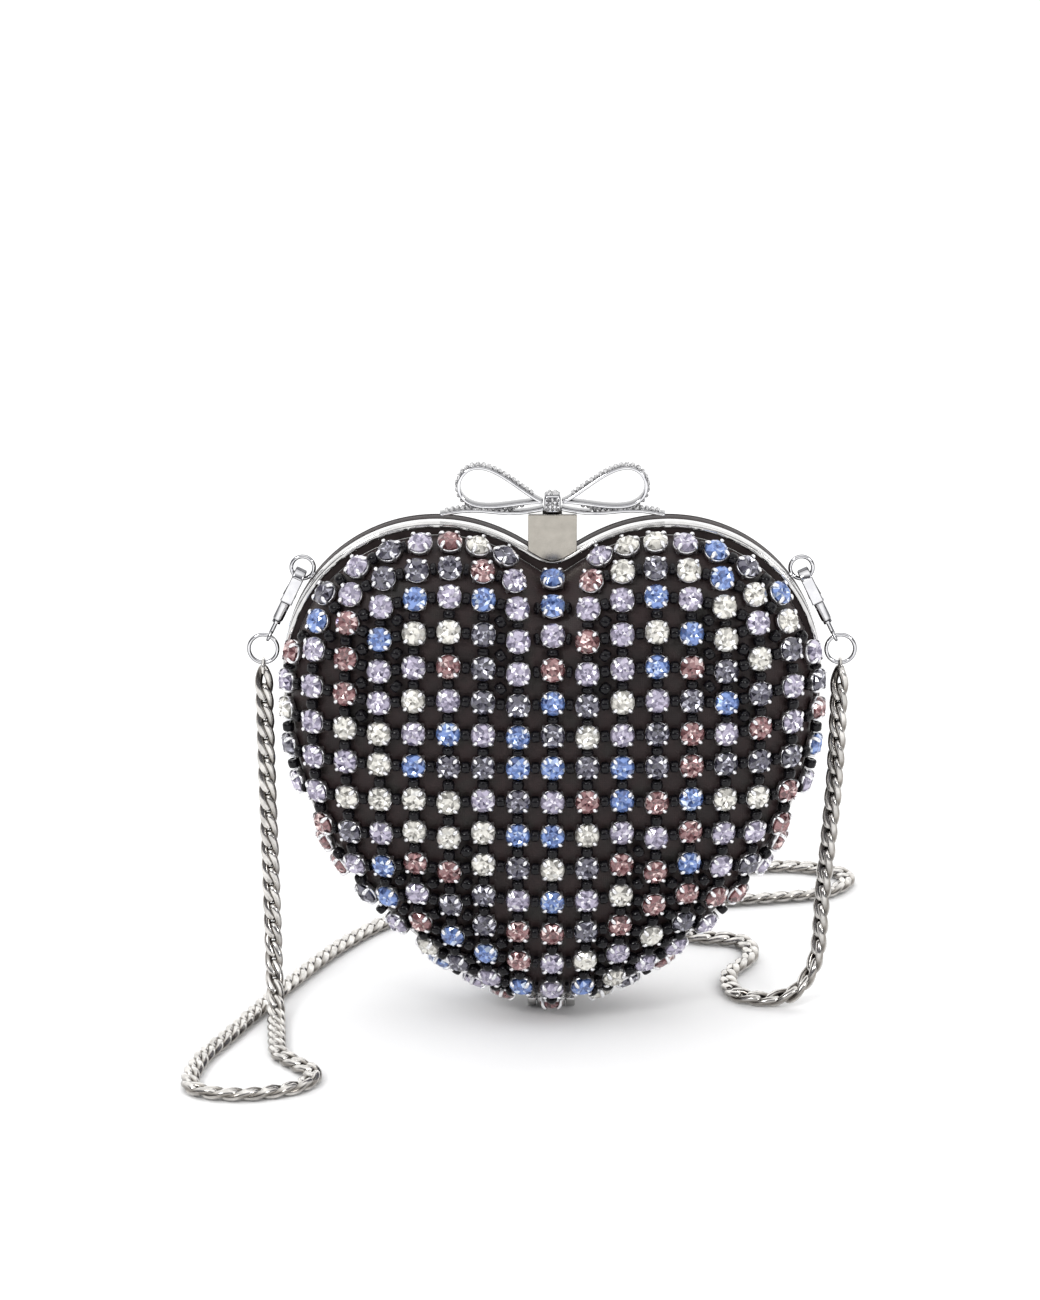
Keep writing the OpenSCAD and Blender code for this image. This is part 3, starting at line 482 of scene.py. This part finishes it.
def dome_points(inset, depth, sides, rings, base):
    """Rings of points from the skirt at depth base up to the top of the dome."""
    around = 2 * math.pi * np.arange(sides) / sides
    reach = np.array([inner_outline(a) for a in around]) - inset
    rows = [(1.0, base)] if base < RIM_DEPTH else []
    for k in range(rings):
        phi = math.pi / 2 * k / rings
        q, h = math.cos(phi) ** (2 / DOME_POWER), math.sin(phi) ** (2 / DOME_POWER)
        rows.append((q, RIM_DEPTH + h * (depth - RIM_DEPTH)))
    points = [(r * q * math.sin(a), y, DOME_HEIGHT + r * q * math.cos(a))
              for q, y in rows for a, r in zip(around, reach)]
    return np.array(points + [(0, depth, DOME_HEIGHT)]), len(rows)


def dome_skin(inset, wall, depth, base, side, sides=200, rings=26):
    """A closed skin with a wall: an outer dome, an inner dome and the edge between them."""
    outer, rows = dome_points(inset, depth, sides, rings, base)
    inner, _ = dome_points(inset + wall, depth - wall, sides, rings, base)
    faces = grid_faces(rows, sides)
    top, start, last = rows * sides, len(outer), (rows - 1) * sides
    faces += [(last + k, last + (k + 1) % sides, top) for k in range(sides)]
    faces += [tuple(start + i for i in face[::-1]) for face in faces]
    faces += [((k + 1) % sides, k, start + k, start + (k + 1) % sides) for k in range(sides)]
    points = np.concatenate([outer, inner])
    if side < 0:
        points = points * (1, -1, 1)
        faces = turned_over(faces)
    return points, faces


# %% Shells and linings
for half, side in (("back", 1), ("front", -1)):
    body = half + "_half"
    satin_skin = dome_skin(RIM_LIP, SHELL_WALL, SHELL_DEPTH, RIM_DEPTH, side)
    shell = make_piece(half + "_satin_shell", *satin_skin, body, slot="shell_satin")
    shell.data.materials.append(satin)
    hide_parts(half + "_shell")
    lining_depth = SHELL_DEPTH - SHELL_WALL - LINING_GAP
    suede_skin = dome_skin(RIM_WIDTH + LINING_GAP, LINING_WALL, lining_depth, RIM_GAP, side,
                           sides=160, rings=18)
    lining = make_piece(half + "_suede_lining", *suede_skin, body, slot="lining_cloth")
    lining.data.materials.append(suede)
    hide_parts(half + "_lining")
    print(half, "shell:", len(shell.data.polygons), "faces")

# %% [markdown]
# ## The rim
# Each half ends in a metal frame. Its section is drawn once and carried round the heart, like
# a picture moulding. Polished metal shows only its edges and its reflections, so every corner
# is rounded, and a fine line is cut between the frame's band and its front flange. Beside the
# shell runs a channel, and a dark fill in it is painted shade: the dark gap between the rim and
# the stones. The channel is wide under the lobes, where the shell lies
# lower than the rim, and almost closed at the sides, so the section is stretched to fit.

# %% The section of the rim, as (distance in from the outline, depth)
def rounded(corners, radius, steps=3):
    """Rounds the corners of a closed section."""
    corners = np.asarray(corners, float)
    smooth = []
    for a, b, c in zip(np.roll(corners, 1, 0), corners, np.roll(corners, -1, 0)):
        r = min(radius, np.linalg.norm(a - b) / 2.2, np.linalg.norm(c - b) / 2.2)
        p, q = b + unit(a - b) * r, b + unit(c - b) * r
        for f in np.linspace(0, 1, steps + 1):
            smooth.append((1 - f) ** 2 * p + 2 * f * (1 - f) * b + f * f * q)
    return smooth


line_width, line_depth, line_slope, flange = 0.5, 0.5, 0.06, 1.1
band_end = RIM_DEPTH - flange - line_width
channel_depth, channel_fill, fill_clear = 0.8, 0.3, 0.03
corner_radius = 0.4
section_marks = [0, 1.5, 2.6, RIM_WIDTH + 0.5]
_, channel_in, channel_out, inside = section_marks
channel_floor, parting = RIM_DEPTH - channel_depth, RIM_GAP / 2
rim_section = rounded([
    (0, parting), (0, band_end), (line_depth, band_end + line_slope),
    (line_depth, band_end + line_width - line_slope), (0, band_end + line_width), (0, RIM_DEPTH),
    (channel_in, RIM_DEPTH), (channel_in, channel_floor), (channel_out, channel_floor),
    (channel_out, RIM_DEPTH), (inside, RIM_DEPTH), (inside, parting)], corner_radius)
fill_low, fill_high = channel_floor + fill_clear, RIM_DEPTH - channel_fill
fill_in, fill_out = channel_in + fill_clear, channel_out - fill_clear
shade_fill_section = [(fill_in, fill_low), (fill_in, fill_high),
                   (fill_out, fill_high), (fill_out, fill_low)]
rim_steps = 480
side_lip, top_lip, top_lip_drop, shell_cover = 0.8, 1.5, 1.2, 0.1
plate_spread = 0.09


def carried_round(section, side):
    """Carries a section round the heart, stretched to the width at each place.

    The lip beside the channel runs out under the clasp plate, where the rim is hidden.
    """
    around = 2 * math.pi * np.arange(rim_steps) / rim_steps
    points = []
    for a in around:
        r = outline(a)
        drop = r - inner_outline(a)
        under_plate = math.exp(-(math.sin(a) / plate_spread) ** 2) if math.cos(a) > 0 else 0
        lip = side_lip + (top_lip - side_lip) * min(1, drop / top_lip_drop) - under_plate
        widths = [0, lip, drop + RIM_LIP - shell_cover, drop + RIM_WIDTH]
        for i, y in section:
            m = r - np.interp(i, section_marks, widths)
            points.append((m * math.sin(a), side * y, DOME_HEIGHT + m * math.cos(a)))
    faces = grid_faces(rim_steps, len(section), close_rows=True)
    return np.array(points), faces if side < 0 else turned_over(faces)


# %% The knuckles of the hinge, with the flat that the bag stands on
KNUCKLES, KNUCKLE_SIDES = 5, 40
KNUCKLE_RADIUS, KNUCKLE_LENGTH, KNUCKLE_GAP, KNUCKLE_EDGE = 2.6, 2.4, 0.3, 0.25
AXIS_HEIGHT, PIN_RADIUS = 2.35, 1.05
neck_inset, neck_rise, neck_from, neck_to = 0.1, 1.2, 0.2, 2.5
tip_height = DOME_HEIGHT - outline(math.pi)


def knuckle(middle):
    half, outer = KNUCKLE_LENGTH / 2, KNUCKLE_RADIUS - KNUCKLE_EDGE
    straight = half - KNUCKLE_EDGE
    profile = [(PIN_RADIUS, -half), (outer, -half), (KNUCKLE_RADIUS, -straight),
               (KNUCKLE_RADIUS, straight), (outer, half), (PIN_RADIUS, half)]
    points, faces = turned(profile, KNUCKLE_SIDES)
    points = np.stack([points[:, 2] + middle, points[:, 0], points[:, 1] + AXIS_HEIGHT], 1)
    points[:, 2] = np.maximum(points[:, 2], 0)
    return points, faces + bore_faces(len(profile), KNUCKLE_SIDES)


def knuckle_neck(middle, side):
    """The short block that joins a knuckle to the rim."""
    reach = KNUCKLE_LENGTH / 2 - neck_inset
    x0, x1, y0, y1 = middle - reach, middle + reach, side * neck_from, side * neck_to
    points = [(x, y, z) for z in (AXIS_HEIGHT + neck_rise, tip_height + neck_rise)
              for x, y in ((x0, y0), (x1, y0), (x1, y1), (x0, y1))]
    faces = grid_faces(2, 4) + end_faces(2, 4)
    return np.array(points), faces if side > 0 else turned_over(faces)


for half, side, first, finish, slot in (("back", 1, 0, dark_rim_and_shade_fill, "rim_dark"),
                                        ("front", -1, 1, silver, "rim_bright")):
    body = half + "_half"
    rim = make_piece(half + "_rim_band", *carried_round(rim_section, side), body, slot=slot)
    rim.data.materials.append(finish)
    # The channel's dark fill is painted shade: a dark sheet laid in the gap beside the shell.
    shade_fill_shape = carried_round(shade_fill_section, side)
    shade_fill = make_piece(half + "_rim_shade_fill", *shade_fill_shape, body, slot="rim_dark")
    shade_fill.data.materials.append(dark_rim_and_shade_fill)
    shapes = []
    for k in range(first, KNUCKLES, 2):
        middle = (k - KNUCKLES // 2) * (KNUCKLE_LENGTH + KNUCKLE_GAP)
        shapes += [knuckle(middle), knuckle_neck(middle, side)]
    knuckles = make_piece(half + "_hinge_knuckles", *joined(shapes), body, slot="rim_bright")
    knuckles.data.materials.append(silver)
    for piece in (rim, shade_fill, knuckles):
        edge = piece.modifiers.new("edges", "EDGE_SPLIT")
        edge.split_angle = math.radians(50)
        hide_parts(half + "_rim")
    print(half, "rim:", len(rim.data.polygons), "faces")

# %% [markdown]
# ## Where the crystals sit
# The solids already hold every crystal and bead, so their places are read from there instead of
# being worked out again. Each one is a loose island in its mesh. A crystal or bead is round, and
# more of its surface faces along its axis than any other way, which gives the axis.

# %% Split a mesh into loose islands
def islands(node):
    """Middle, axis and extent along the axis, in millimetres, of each loose solid of a node."""
    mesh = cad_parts[node].data
    mesh.calc_loop_triangles()
    points = np.zeros(len(mesh.vertices) * 3)
    mesh.vertices.foreach_get("co", points)
    points = points.reshape(-1, 3) / MM
    triangles = np.zeros(len(mesh.loop_triangles) * 3, int)
    mesh.loop_triangles.foreach_get("vertices", triangles)
    _, same = np.unique(np.round(points * 1000).astype(np.int64), axis=0, return_inverse=True)
    triangles = same.reshape(-1)[triangles.reshape(-1, 3)]
    places = np.zeros((same.max() + 1, 3))
    places[same.reshape(-1)] = points
    label = np.arange(len(places))
    while True:
        lowest = label[triangles].min(1)
        after = label.copy()
        for k in range(3):
            np.minimum.at(after, triangles[:, k], lowest)
        after = after[after]
        if (after == label).all():
            break
        label = after
    found = []
    a, b, c = (places[triangles[:, k]] for k in range(3))
    facing = np.cross(b - a, c - a)
    area = np.linalg.norm(facing, axis=1)
    area[area == 0] = 1e-12
    mine = label[triangles[:, 0]]
    order = np.argsort(mine, kind="stable")
    for group in np.split(order, np.nonzero(np.diff(mine[order]))[0] + 1):
        n = facing[group]
        spread = (n / area[group][:, None]).T @ n
        axis = np.linalg.eigh(spread)[1][:, -1]
        own = places[np.unique(triangles[group])]
        centres = (a[group] + b[group] + c[group]) / 3
        middle = (centres * area[group][:, None]).sum(0) / area[group].sum()
        if axis @ (middle - (0, 0, DOME_HEIGHT)) < 0:
            axis = -axis
        found.append((middle, axis, (own @ axis).min(), (own @ axis).max()))
    return found


def seat(at, outward, up=(0, 0, 1), turn=0.0):
    """A place whose Z points outward and whose Y points up the net."""
    z = unit(outward)
    y = np.asarray(up, float) - z * (z @ np.asarray(up, float))
    y = unit(y) if np.linalg.norm(y) > 0.05 else unit(np.cross(z, (1, 0, 0)))
    x = np.cross(y, z)
    place = np.eye(4)
    place[:3, 0] = x * math.cos(turn) + y * math.sin(turn)
    place[:3, 1] = y * math.cos(turn) - x * math.sin(turn)
    place[:3, 2], place[:3, 3] = z, at
    return place


# %% [markdown]
# ## A cut crystal
# A set crystal is cut like a small diamond: a girdle, a ring of kite-shaped facets, and a table.
# Its back is silvered, so through the table you see the mirror facets behind. Real glass would
# need many light bounces for that, and it would still be noisy at this size. So the silvered
# star is modelled where it is seen, a shallow cone of facets under the table's edge, and each
# facet has its own share of light.

# %% The facets of one crystal
CRYSTAL_RADIUS = 3.28


def crystal_shape():
    girdle, middle, table, star = np.array((1, 0.8, 0.56, 0.3)) * CRYSTAL_RADIUS
    table_z, middle_z, girdle_z, base_z = 2.15, 1.75, 0.95, 0.28
    star_z, star_low = 1.72, 1.35
    eighth = math.pi / 4

    def on(r, a, z):
        return (r * math.cos(a), r * math.sin(a), z)

    points = [on(table, k * eighth, table_z) for k in range(8)]
    points += [on(middle, (k + 0.5) * eighth, middle_z) for k in range(8)]
    points += [on(girdle, k * eighth / 2, girdle_z) for k in range(16)]
    points += [on(girdle, k * eighth / 2, base_z) for k in range(16)]
    points += [on(star, (k + 0.5) * eighth, star_z) for k in range(8)] + [(0, 0, star_low)]
    T, M, G, B, P, C = 0, 8, 16, 32, 48, 56
    faces = []
    for k in range(8):
        n = (k + 1) % 8
        faces += [(T + k, M + (k - 1) % 8, G + 2 * k), (T + k, G + 2 * k, M + k), (T + k, M + k, T + n)]
        faces += [(M + k, G + 2 * k, G + 2 * k + 1), (M + k, G + 2 * k + 1, G + 2 * n)]
        faces += [(T + k, T + n, P + k), (T + k, P + k, P + (k - 1) % 8), (P + k, C, P + (k - 1) % 8)]
    for k in range(16):
        n = (k + 1) % 16
        faces.append((G + k, B + k, B + n, G + n))
    return np.array(points), faces


crystal = crystal_shape()
print("one crystal:", len(crystal[1]), "facets")


# %% Glass that keeps its light, in five colours
def crystal_glass(name, deep, tint, bright):
    material, nodes, links, shader = new_finish(name)
    shader.inputs["Metallic"].default_value = 0.45
    shader.inputs["Coat Weight"].default_value = 1.0
    shader.inputs["Coat Roughness"].default_value = 0.02
    shader.inputs["Specular IOR Level"].default_value = 0.8
    facet = nodes.new("ShaderNodeAttribute")
    facet.attribute_name = "facet_light"
    shades = [(0.0, deep), (0.45, tint), (0.8, tint), (1.0, bright)]
    links.new(ramp(nodes, links, facet.outputs["Fac"], shades), shader.inputs["Base Color"])
    polish_marks = object_noise(nodes, links, 0.6)
    links.new(between(nodes, links, polish_marks, 0.06, 0.16), shader.inputs["Roughness"])
    return material


glasses = {
    "blue": crystal_glass("sapphire_glass", (0.02, 0.04, 0.15), (0.15, 0.25, 0.56), (0.78, 0.88, 1.0)),
    "lilac": crystal_glass("lilac_glass", (0.1, 0.09, 0.15), (0.42, 0.38, 0.5), (0.98, 0.96, 1.0)),
    "rose": crystal_glass("rose_glass", (0.06, 0.018, 0.02), (0.26, 0.115, 0.12), (0.95, 0.75, 0.72)),
    "clear": crystal_glass("clear_glass", (0.22, 0.21, 0.19), (0.74, 0.72, 0.66), (1.0, 1.0, 0.97)),
    "smoke": crystal_glass("smoke_glass", (0.012, 0.012, 0.02), (0.085, 0.08, 0.115), (0.6, 0.6, 0.7)),
}
facet_order = np.random.RandomState(11)
dark_lean = 1.1


def light_facets(piece, stones, faces_each):
    """Gives each facet of each stone its own share of light, a few more dark ones than bright."""
    light = facet_order.random_sample((stones, faces_each)) ** dark_lean
    attribute = piece.data.attributes.new("facet_light", "FLOAT", "FACE")
    attribute.data.foreach_set("value", light.astype(np.float32).ravel())


# %% [markdown]
# ## The claw cups
# Each crystal is held by a stamped cup with four claws that are pressed over its edge. The
# crystal covers the cup's lip, so from the front the cup is hidden, and the claws show as four
# bright dots. The cup is turned from a profile, and a claw is a short strip bent over the girdle.

# %% One cup with its claws
# The claw's path is (radius, height, width), and its section is (share of half the width, lift).
claw_path = [(3.36, -0.9, 0.95), (3.44, 0.3, 1.0), (3.42, 1.1, 1.05), (3.2, 1.55, 1.1),
             (2.85, 1.86, 1.15), (2.5, 1.98, 1.0), (2.25, 1.9, 0.5)]
claw_section = [(-1, -0.1), (1, -0.1), (0.85, 0.22), (0.4, 0.4), (-0.4, 0.4), (-0.85, 0.22)]
cup_profile = [(0.4, -1.38), (2.7, -1.38), (3.1, -1.15), (3.3, -0.4), (3.34, 0.2), (3.16, 0.25),
               (3.1, -0.1)]
CUP_SIDES, CLAWS = 20, 4


def claw(angle):
    """A strip that rises beside the cup, bends over the girdle and ends in a round tip."""
    points, last = [], len(claw_path) - 1
    for i, (r, z, width) in enumerate(claw_path):
        before, after = claw_path[max(0, i - 1)], claw_path[min(last, i + 1)]
        d = unit((after[0] - before[0], after[1] - before[1]))
        for share, lift in claw_section:
            reach, across = r + d[1] * lift, share * width / 2
            points.append((reach * math.cos(angle) - across * math.sin(angle),
                           reach * math.sin(angle) + across * math.cos(angle), z - d[0] * lift))
    rows, columns = len(claw_path), len(claw_section)
    return np.array(points), grid_faces(rows, columns) + end_faces(rows, columns)


claws = [claw((k + 0.5) * 2 * math.pi / CLAWS) for k in range(CLAWS)]
claw_cup = joined([turned(cup_profile, CUP_SIDES)] + claws)
print("one cup:", len(claw_cup[1]), "faces")

# %% Set cups and crystals on both halves
for half in ("back", "front"):
    body, cup_places = half + "_half", []
    for tint, glass in glasses.items():
        places = []
        for middle, axis, low, high in islands(half + "_" + tint):
            base = middle + axis * (low - middle @ axis)
            cup_places.append(seat(base, axis))
            places.append(seat(base, axis, turn=facet_order.uniform(0, math.pi / 4)))
        stones = make_piece(half + "_cut_" + tint, *copies(crystal, places), body,
                            smooth=False, slot=tint + "_crystal")
        light_facets(stones, len(places), len(crystal[1]))
        stones.data.materials.append(glass)
        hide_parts(half + "_" + tint)
    cups = make_piece(half + "_claw_cups", *copies(claw_cup, cup_places), body, slot="cup_metal")
    cups.data.materials.append(cup_silver)
    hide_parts(half + "_cups")
    print(half, "cups:", len(cup_places))

# %% [markdown]
# ## The beads
# Between the cups sit short black glass beads with a hole for the thread. A bead is almost a
# cylinder with soft shoulders, and it is so glossy that each one carries a small light.

# %% Black glass
jet, nodes, links, shader = new_finish("jet_glass")
shader.inputs["IOR"].default_value = 1.3
depths = ramp(nodes, links, object_noise(nodes, links, 1.5), [
    (0.3, (0.002, 0.002, 0.003)), (0.7, (0.007, 0.006, 0.008))])
links.new(depths, shader.inputs["Base Color"])
links.new(between(nodes, links, object_noise(nodes, links, 0.5), 0.05, 0.14), shader.inputs["Roughness"])

# %% One bead, one unit long, and all of them in their places
BEAD_RADIUS, BEAD_SIDES = 1.65, 14
bead_half = [(0.28, 0.5), (0.7, 0.5), (0.9, 0.43), (1.0, 0.22)]
bead_profile = [(r, -z) for r, z in bead_half] + bead_half[::-1]
bead_points, bead_faces = turned(bead_profile, BEAD_SIDES)
bead = (bead_points, bead_faces + bore_faces(len(bead_profile), BEAD_SIDES))
for half in ("back", "front"):
    places = []
    for middle, axis, low, high in islands(half + "_beads"):
        places.append(seat(middle, axis) @ np.diag([BEAD_RADIUS, BEAD_RADIUS, high - low, 1]))
    beads = make_piece(half + "_jet_beads", *copies(bead, places), half + "_half", slot="black_glass")
    beads.data.materials.append(jet)
    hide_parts(half + "_beads")
    print(half, "beads:", len(places))

# %% [markdown]
# ## Clasp, pins and side fittings
# These solids already have their true shape, so they stay and only get a finish. Their edges
# are sharp, as cut by a machine. A small bevel gives each edge the bright line that real metal
# has. The round wires of the rings need none.

# %% Give the solid pieces their finish
def dress(node, material, bevel_mm=0, clamp=True):
    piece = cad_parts[node]
    piece.data.materials.clear()
    piece.data.materials.append(material)
    if bevel_mm:
        weld = piece.modifiers.new("weld", "WELD")
        weld.merge_threshold = 0.002 * MM
        bevel = piece.modifiers.new("edges", "BEVEL")
        bevel.width = bevel_mm * MM
        bevel.segments = 3
        bevel.use_clamp_overlap = clamp
        bevel.limit_method = "ANGLE"
        bevel.angle_limit = math.radians(40)
        bevel.harden_normals = True


dress("clasp_plate", plate_silver, 0.25)
dress("clasp_housing", silver, 0.15)
dress("clasp_lever", silver)
for node in ("hinge_pin", "clasp_pin", "clasp_spring", "left_gate_pin", "right_gate_pin"):
    dress(node, dark_steel)
for side in ("left", "right"):
    dress(side + "_hook", wire_silver, 0.4, clamp=False)
    for node in ("lug", "gate", "swivel", "end_ring"):
        dress(side + "_" + node, wire_silver)
print("solid pieces kept:", sum(not node.hide_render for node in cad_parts.values()))

# %% [markdown]
# ## The bow
# The bow is flat metal ribbon. Two loops leave the knot, rise and come back, and two tails lie
# almost level under them. The outer face is set with tiny crystals in three rows, and the
# edges are polished. The middle line of each ribbon is the same curve as in the solids.

# %% The middle lines of a loop and a tail, in the XZ plane
KNOT_WIDTH, KNOT_HEIGHT, KNOT_LOW = 4.4, 4.8, 142.8
RIBBON_WIDTH, RIBBON_THICK, RIBBON_EDGE, BOW_Y = 4.6, 0.9, 0.3, -2.3
LOOP_LENGTH, LOOP_HEIGHT, LOOP_TILT = 23.5, 11.5, math.radians(14)
LOOP_FULLNESS, LOOP_RISE_SHARE, LOOP_OPEN = 0.7, 0.55, 14
TAIL_LENGTH, TAIL_FALL_SHARE, TAIL_WAVE_SHARE = 28.0, 0.06, 0.025
KNOT_CLEAR = 0.15
bow_start = KNOT_WIDTH / 2 + KNOT_CLEAR
loop_base = KNOT_LOW + KNOT_HEIGHT * LOOP_RISE_SHARE
tail_base = KNOT_LOW + RIBBON_THICK
loop_steps, tail_steps = 120, 50


def loop_at(t):
    u = LOOP_LENGTH * (1 - math.cos(t)) / 2
    v = LOOP_HEIGHT * LOOP_FULLNESS * math.sin(t) * math.sin(t / 2) ** 2
    return (bow_start + u * math.cos(LOOP_TILT) - v * math.sin(LOOP_TILT),
            loop_base + u * math.sin(LOOP_TILT) + v * math.cos(LOOP_TILT))


def tail_at(t):
    fall = TAIL_FALL_SHARE * t + TAIL_WAVE_SHARE * math.sin(2 * math.pi * t)
    return bow_start + TAIL_LENGTH * t, tail_base - TAIL_LENGTH * fall


loop_turns = np.radians(LOOP_OPEN + (360 - 2 * LOOP_OPEN) * np.arange(loop_steps + 1) / loop_steps)
loop_line = np.array([loop_at(t) for t in loop_turns])
tail_line = np.array([tail_at(t) for t in np.arange(tail_steps + 1) / tail_steps])
print("loop reaches", round(loop_line[:, 0].max(), 1), "mm from the middle")


# %% Sweep the ribbon
def outward_normals(line):
    along = unit_rows(np.gradient(line, axis=0))
    return np.stack([-along[:, 1], along[:, 0]], 1)


def ribbon(line):
    """A flat band with rounded edges along a line in the XZ plane."""
    half_w, half_t = RIBBON_WIDTH / 2, RIBBON_THICK / 2
    section = rounded([(-half_w, -half_t), (half_w, -half_t), (half_w, half_t), (-half_w, half_t)],
                      RIBBON_EDGE)
    points = [(p[0] + n[0] * d, BOW_Y + y, p[1] + n[1] * d)
              for p, n in zip(line, outward_normals(line)) for y, d in section]
    rows, columns = len(line), len(section)
    return np.array(points), grid_faces(rows, columns) + end_faces(rows, columns)


for name, line in (("loop", loop_line), ("tail", tail_line)):
    right_band = ribbon(line)
    for side, shape in (("right", right_band), ("left", mirrored(right_band))):
        band = make_piece("ribbon_" + name + "_" + side, *shape, "bow_catch", slot="bow_metal")
        band.data.materials.append(wire_silver)
        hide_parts("bow_" + name + "_" + side)

# %% The knot, widest a little inside each end, with a soft waist
KNOT_EDGE, KNOT_LIFT = 0.9, 0.05
half_w, half_h = KNOT_WIDTH / 2, KNOT_HEIGHT / 2
knot_section = rounded([(-half_w, -half_h), (half_w, -half_h), (half_w, half_h), (-half_w, half_h)],
                       KNOT_EDGE, steps=4)
knot_depth = RIBBON_WIDTH / 2 + RIBBON_THICK
knot_end = [(knot_depth, 0.8), (knot_depth - 0.15, 0.92), (knot_depth - 0.45, 1.0)]
knot_shares = [(-y, share) for y, share in knot_end] + [(0, 0.96)] + knot_end[::-1]
knot_points = [(x * share, BOW_Y + y, KNOT_LOW + KNOT_LIFT + half_h + z * share)
               for y, share in knot_shares for x, z in knot_section]
rows, columns = len(knot_shares), len(knot_section)
knot_faces = grid_faces(rows, columns) + end_faces(rows, columns)
knot = make_piece("ribbon_knot", knot_points, knot_faces, "bow_catch", slot="bow_metal")
knot.data.materials.append(wire_silver)
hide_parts("bow_knot")

# %% Tiny crystals on the ribbon's outer face and on the knot
pave_radius, pave_step, pave_row, pave_sink = 0.7, 1.484, 1.5, 0.02
pave_rings = [(1, -0.1, 0), (0.95, 0.22, 0), (0.5, 0.6, 0.5)]
pave_points = [(pave_radius * share * math.cos(a), pave_radius * share * math.sin(a), z)
               for share, z, turn in pave_rings for a in (np.arange(8) + turn) * math.pi / 4]
pave_faces = grid_faces(2, 8)
for k in range(8):
    n = (k + 1) % 8
    pave_faces += [(8 + k, 8 + n, 16 + k), (8 + n, 16 + n, 16 + k)]
pave_faces.append(tuple(range(16, 24)))
pave_stone = (np.array(pave_points), pave_faces)


def pave_places(line, first, last):
    """Places for three rows of stones along a line."""
    normal = outward_normals(line)
    run = np.r_[0, np.cumsum(np.linalg.norm(np.diff(line, axis=0), axis=1))]
    places = []
    for s in np.arange(run[-1] * first, run[-1] * last, pave_step):
        x, z = (np.interp(s, run, line[:, i]) for i in range(2))
        n = unit([np.interp(s, run, normal[:, i]) for i in range(2)])
        at = np.array((x + n[0] * RIBBON_THICK / 2, 0, z + n[1] * RIBBON_THICK / 2))
        for row in (-1, 0, 1):
            at[1] = BOW_Y + row * pave_row
            places.append(seat(at, (n[0], 0, n[1]), up=(0, 1, 0), turn=0.3 * row))
    return places


right_places = pave_places(loop_line, 0.07, 0.9) + pave_places(tail_line, 0.3, 0.98)
smaller = np.diag([0.9, 0.9, 0.9, 1])
knot_places = [seat((x, BOW_Y - knot_depth + pave_sink, KNOT_LOW + z), (0, -1, 0)) @ smaller
               for x in (-1.25, 0, 1.25) for z in (1.15, 2.4, 3.65)]
knot_places += [seat((x, BOW_Y + y, KNOT_LOW + KNOT_HEIGHT), (0, 0, 1), up=(0, 1, 0))
                for x in (-0.8, 0.8) for y in (-2.1, -0.7, 0.7, 2.1)]
right_side = copies(pave_stone, right_places)
bow_pave = joined([right_side, mirrored(right_side), copies(pave_stone, knot_places)])
pave_count = 2 * len(right_places) + len(knot_places)
small_stones = make_piece("bow_pave", *bow_pave, "bow_catch", smooth=False, slot="bow_stones")
light_facets(small_stones, pave_count, len(pave_faces))
pave_glass = crystal_glass("pave_glass", (0.015, 0.015, 0.02), (0.36, 0.355, 0.36), (1, 1, 1))
small_stones.data.materials.append(pave_glass)
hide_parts("bow_crystals")
print("small crystals:", pave_count)

# %% [markdown]
# ## Floor and light
# The bag stands on a pale table in a bright room. Chrome and glass show nothing but what is
# around them. So the sky is bright above and behind, and darker low down behind the viewer:
# that dark band darkens the edges of round wires, together with the painted reflection in their finish,
# and keeps black glass black.

# %% The table
TABLE_WIDTH, TABLE_DROP = 60.0, 0.0002
bpy.ops.mesh.primitive_plane_add(size=TABLE_WIDTH, location=(0, 0, -TABLE_DROP))
table = bpy.context.object
table.name = "table"
cloth, nodes, links, shader = new_finish("pale_table")
clouds = ramp(nodes, links, object_noise(nodes, links, 60.0), [
    (0.3, (0.94, 0.94, 0.94)), (0.7, (0.97, 0.97, 0.97))])
links.new(clouds, shader.inputs["Base Color"])
shader.inputs["Roughness"].default_value = 0.9
raised(nodes, links, shader, object_noise(nodes, links, 1.2), 0.15, 0.3)
table.data.materials.append(cloth)

# %% The sky and the lamps
world = bpy.data.worlds.new("studio")
scene.world = world
world.use_nodes = True
nodes, links = world.node_tree.nodes, world.node_tree.links
place = nodes.new("ShaderNodeTexCoord")
split = nodes.new("ShaderNodeSeparateXYZ")
links.new(place.outputs["Generated"], split.inputs["Vector"])


def part_of(value, low, high):
    """0 at low, 1 at high."""
    node = nodes.new("ShaderNodeMapRange")
    node.interpolation_type = "SMOOTHSTEP"
    node.inputs["From Min"].default_value = low
    node.inputs["From Max"].default_value = high
    links.new(value, node.inputs["Value"])
    return node.outputs["Result"]


brighter = nodes.new("ShaderNodeMath")
brighter.operation = "MAXIMUM"
links.new(part_of(split.outputs["Z"], 0.25, 0.85), brighter.inputs[0])
links.new(part_of(split.outputs["Y"], -0.35, 0.5), brighter.inputs[1])
sky = ramp(nodes, links, brighter.outputs["Value"], [
    (0.0, (0.09, 0.09, 0.1)), (0.5, (0.5, 0.5, 0.51)), (1.0, (1, 1, 1))])
links.new(sky, nodes["Background"].inputs["Color"])
nodes["Background"].inputs["Strength"].default_value = 1.5


def lamp(name, at, towards, size, power):
    data = bpy.data.lights.new(name, "AREA")
    data.shape = "DISK"
    data.size = size
    data.energy = power
    light = bpy.data.objects.new(name, data)
    scene.collection.objects.link(light)
    light.location = at
    light.rotation_euler = (Vector(towards) - Vector(at)).to_track_quat("-Z", "Y").to_euler()


bag_middle = (0, 0, 0.07)
lamp("left_lamp", (-0.6, -0.9, 0.75), bag_middle, 0.3, 4)
lamp("right_lamp", (0.7, -0.9, 0.45), bag_middle, 0.25, 2.5)
scene.view_settings.view_transform = "Standard"
scene.view_settings.exposure = 0.0
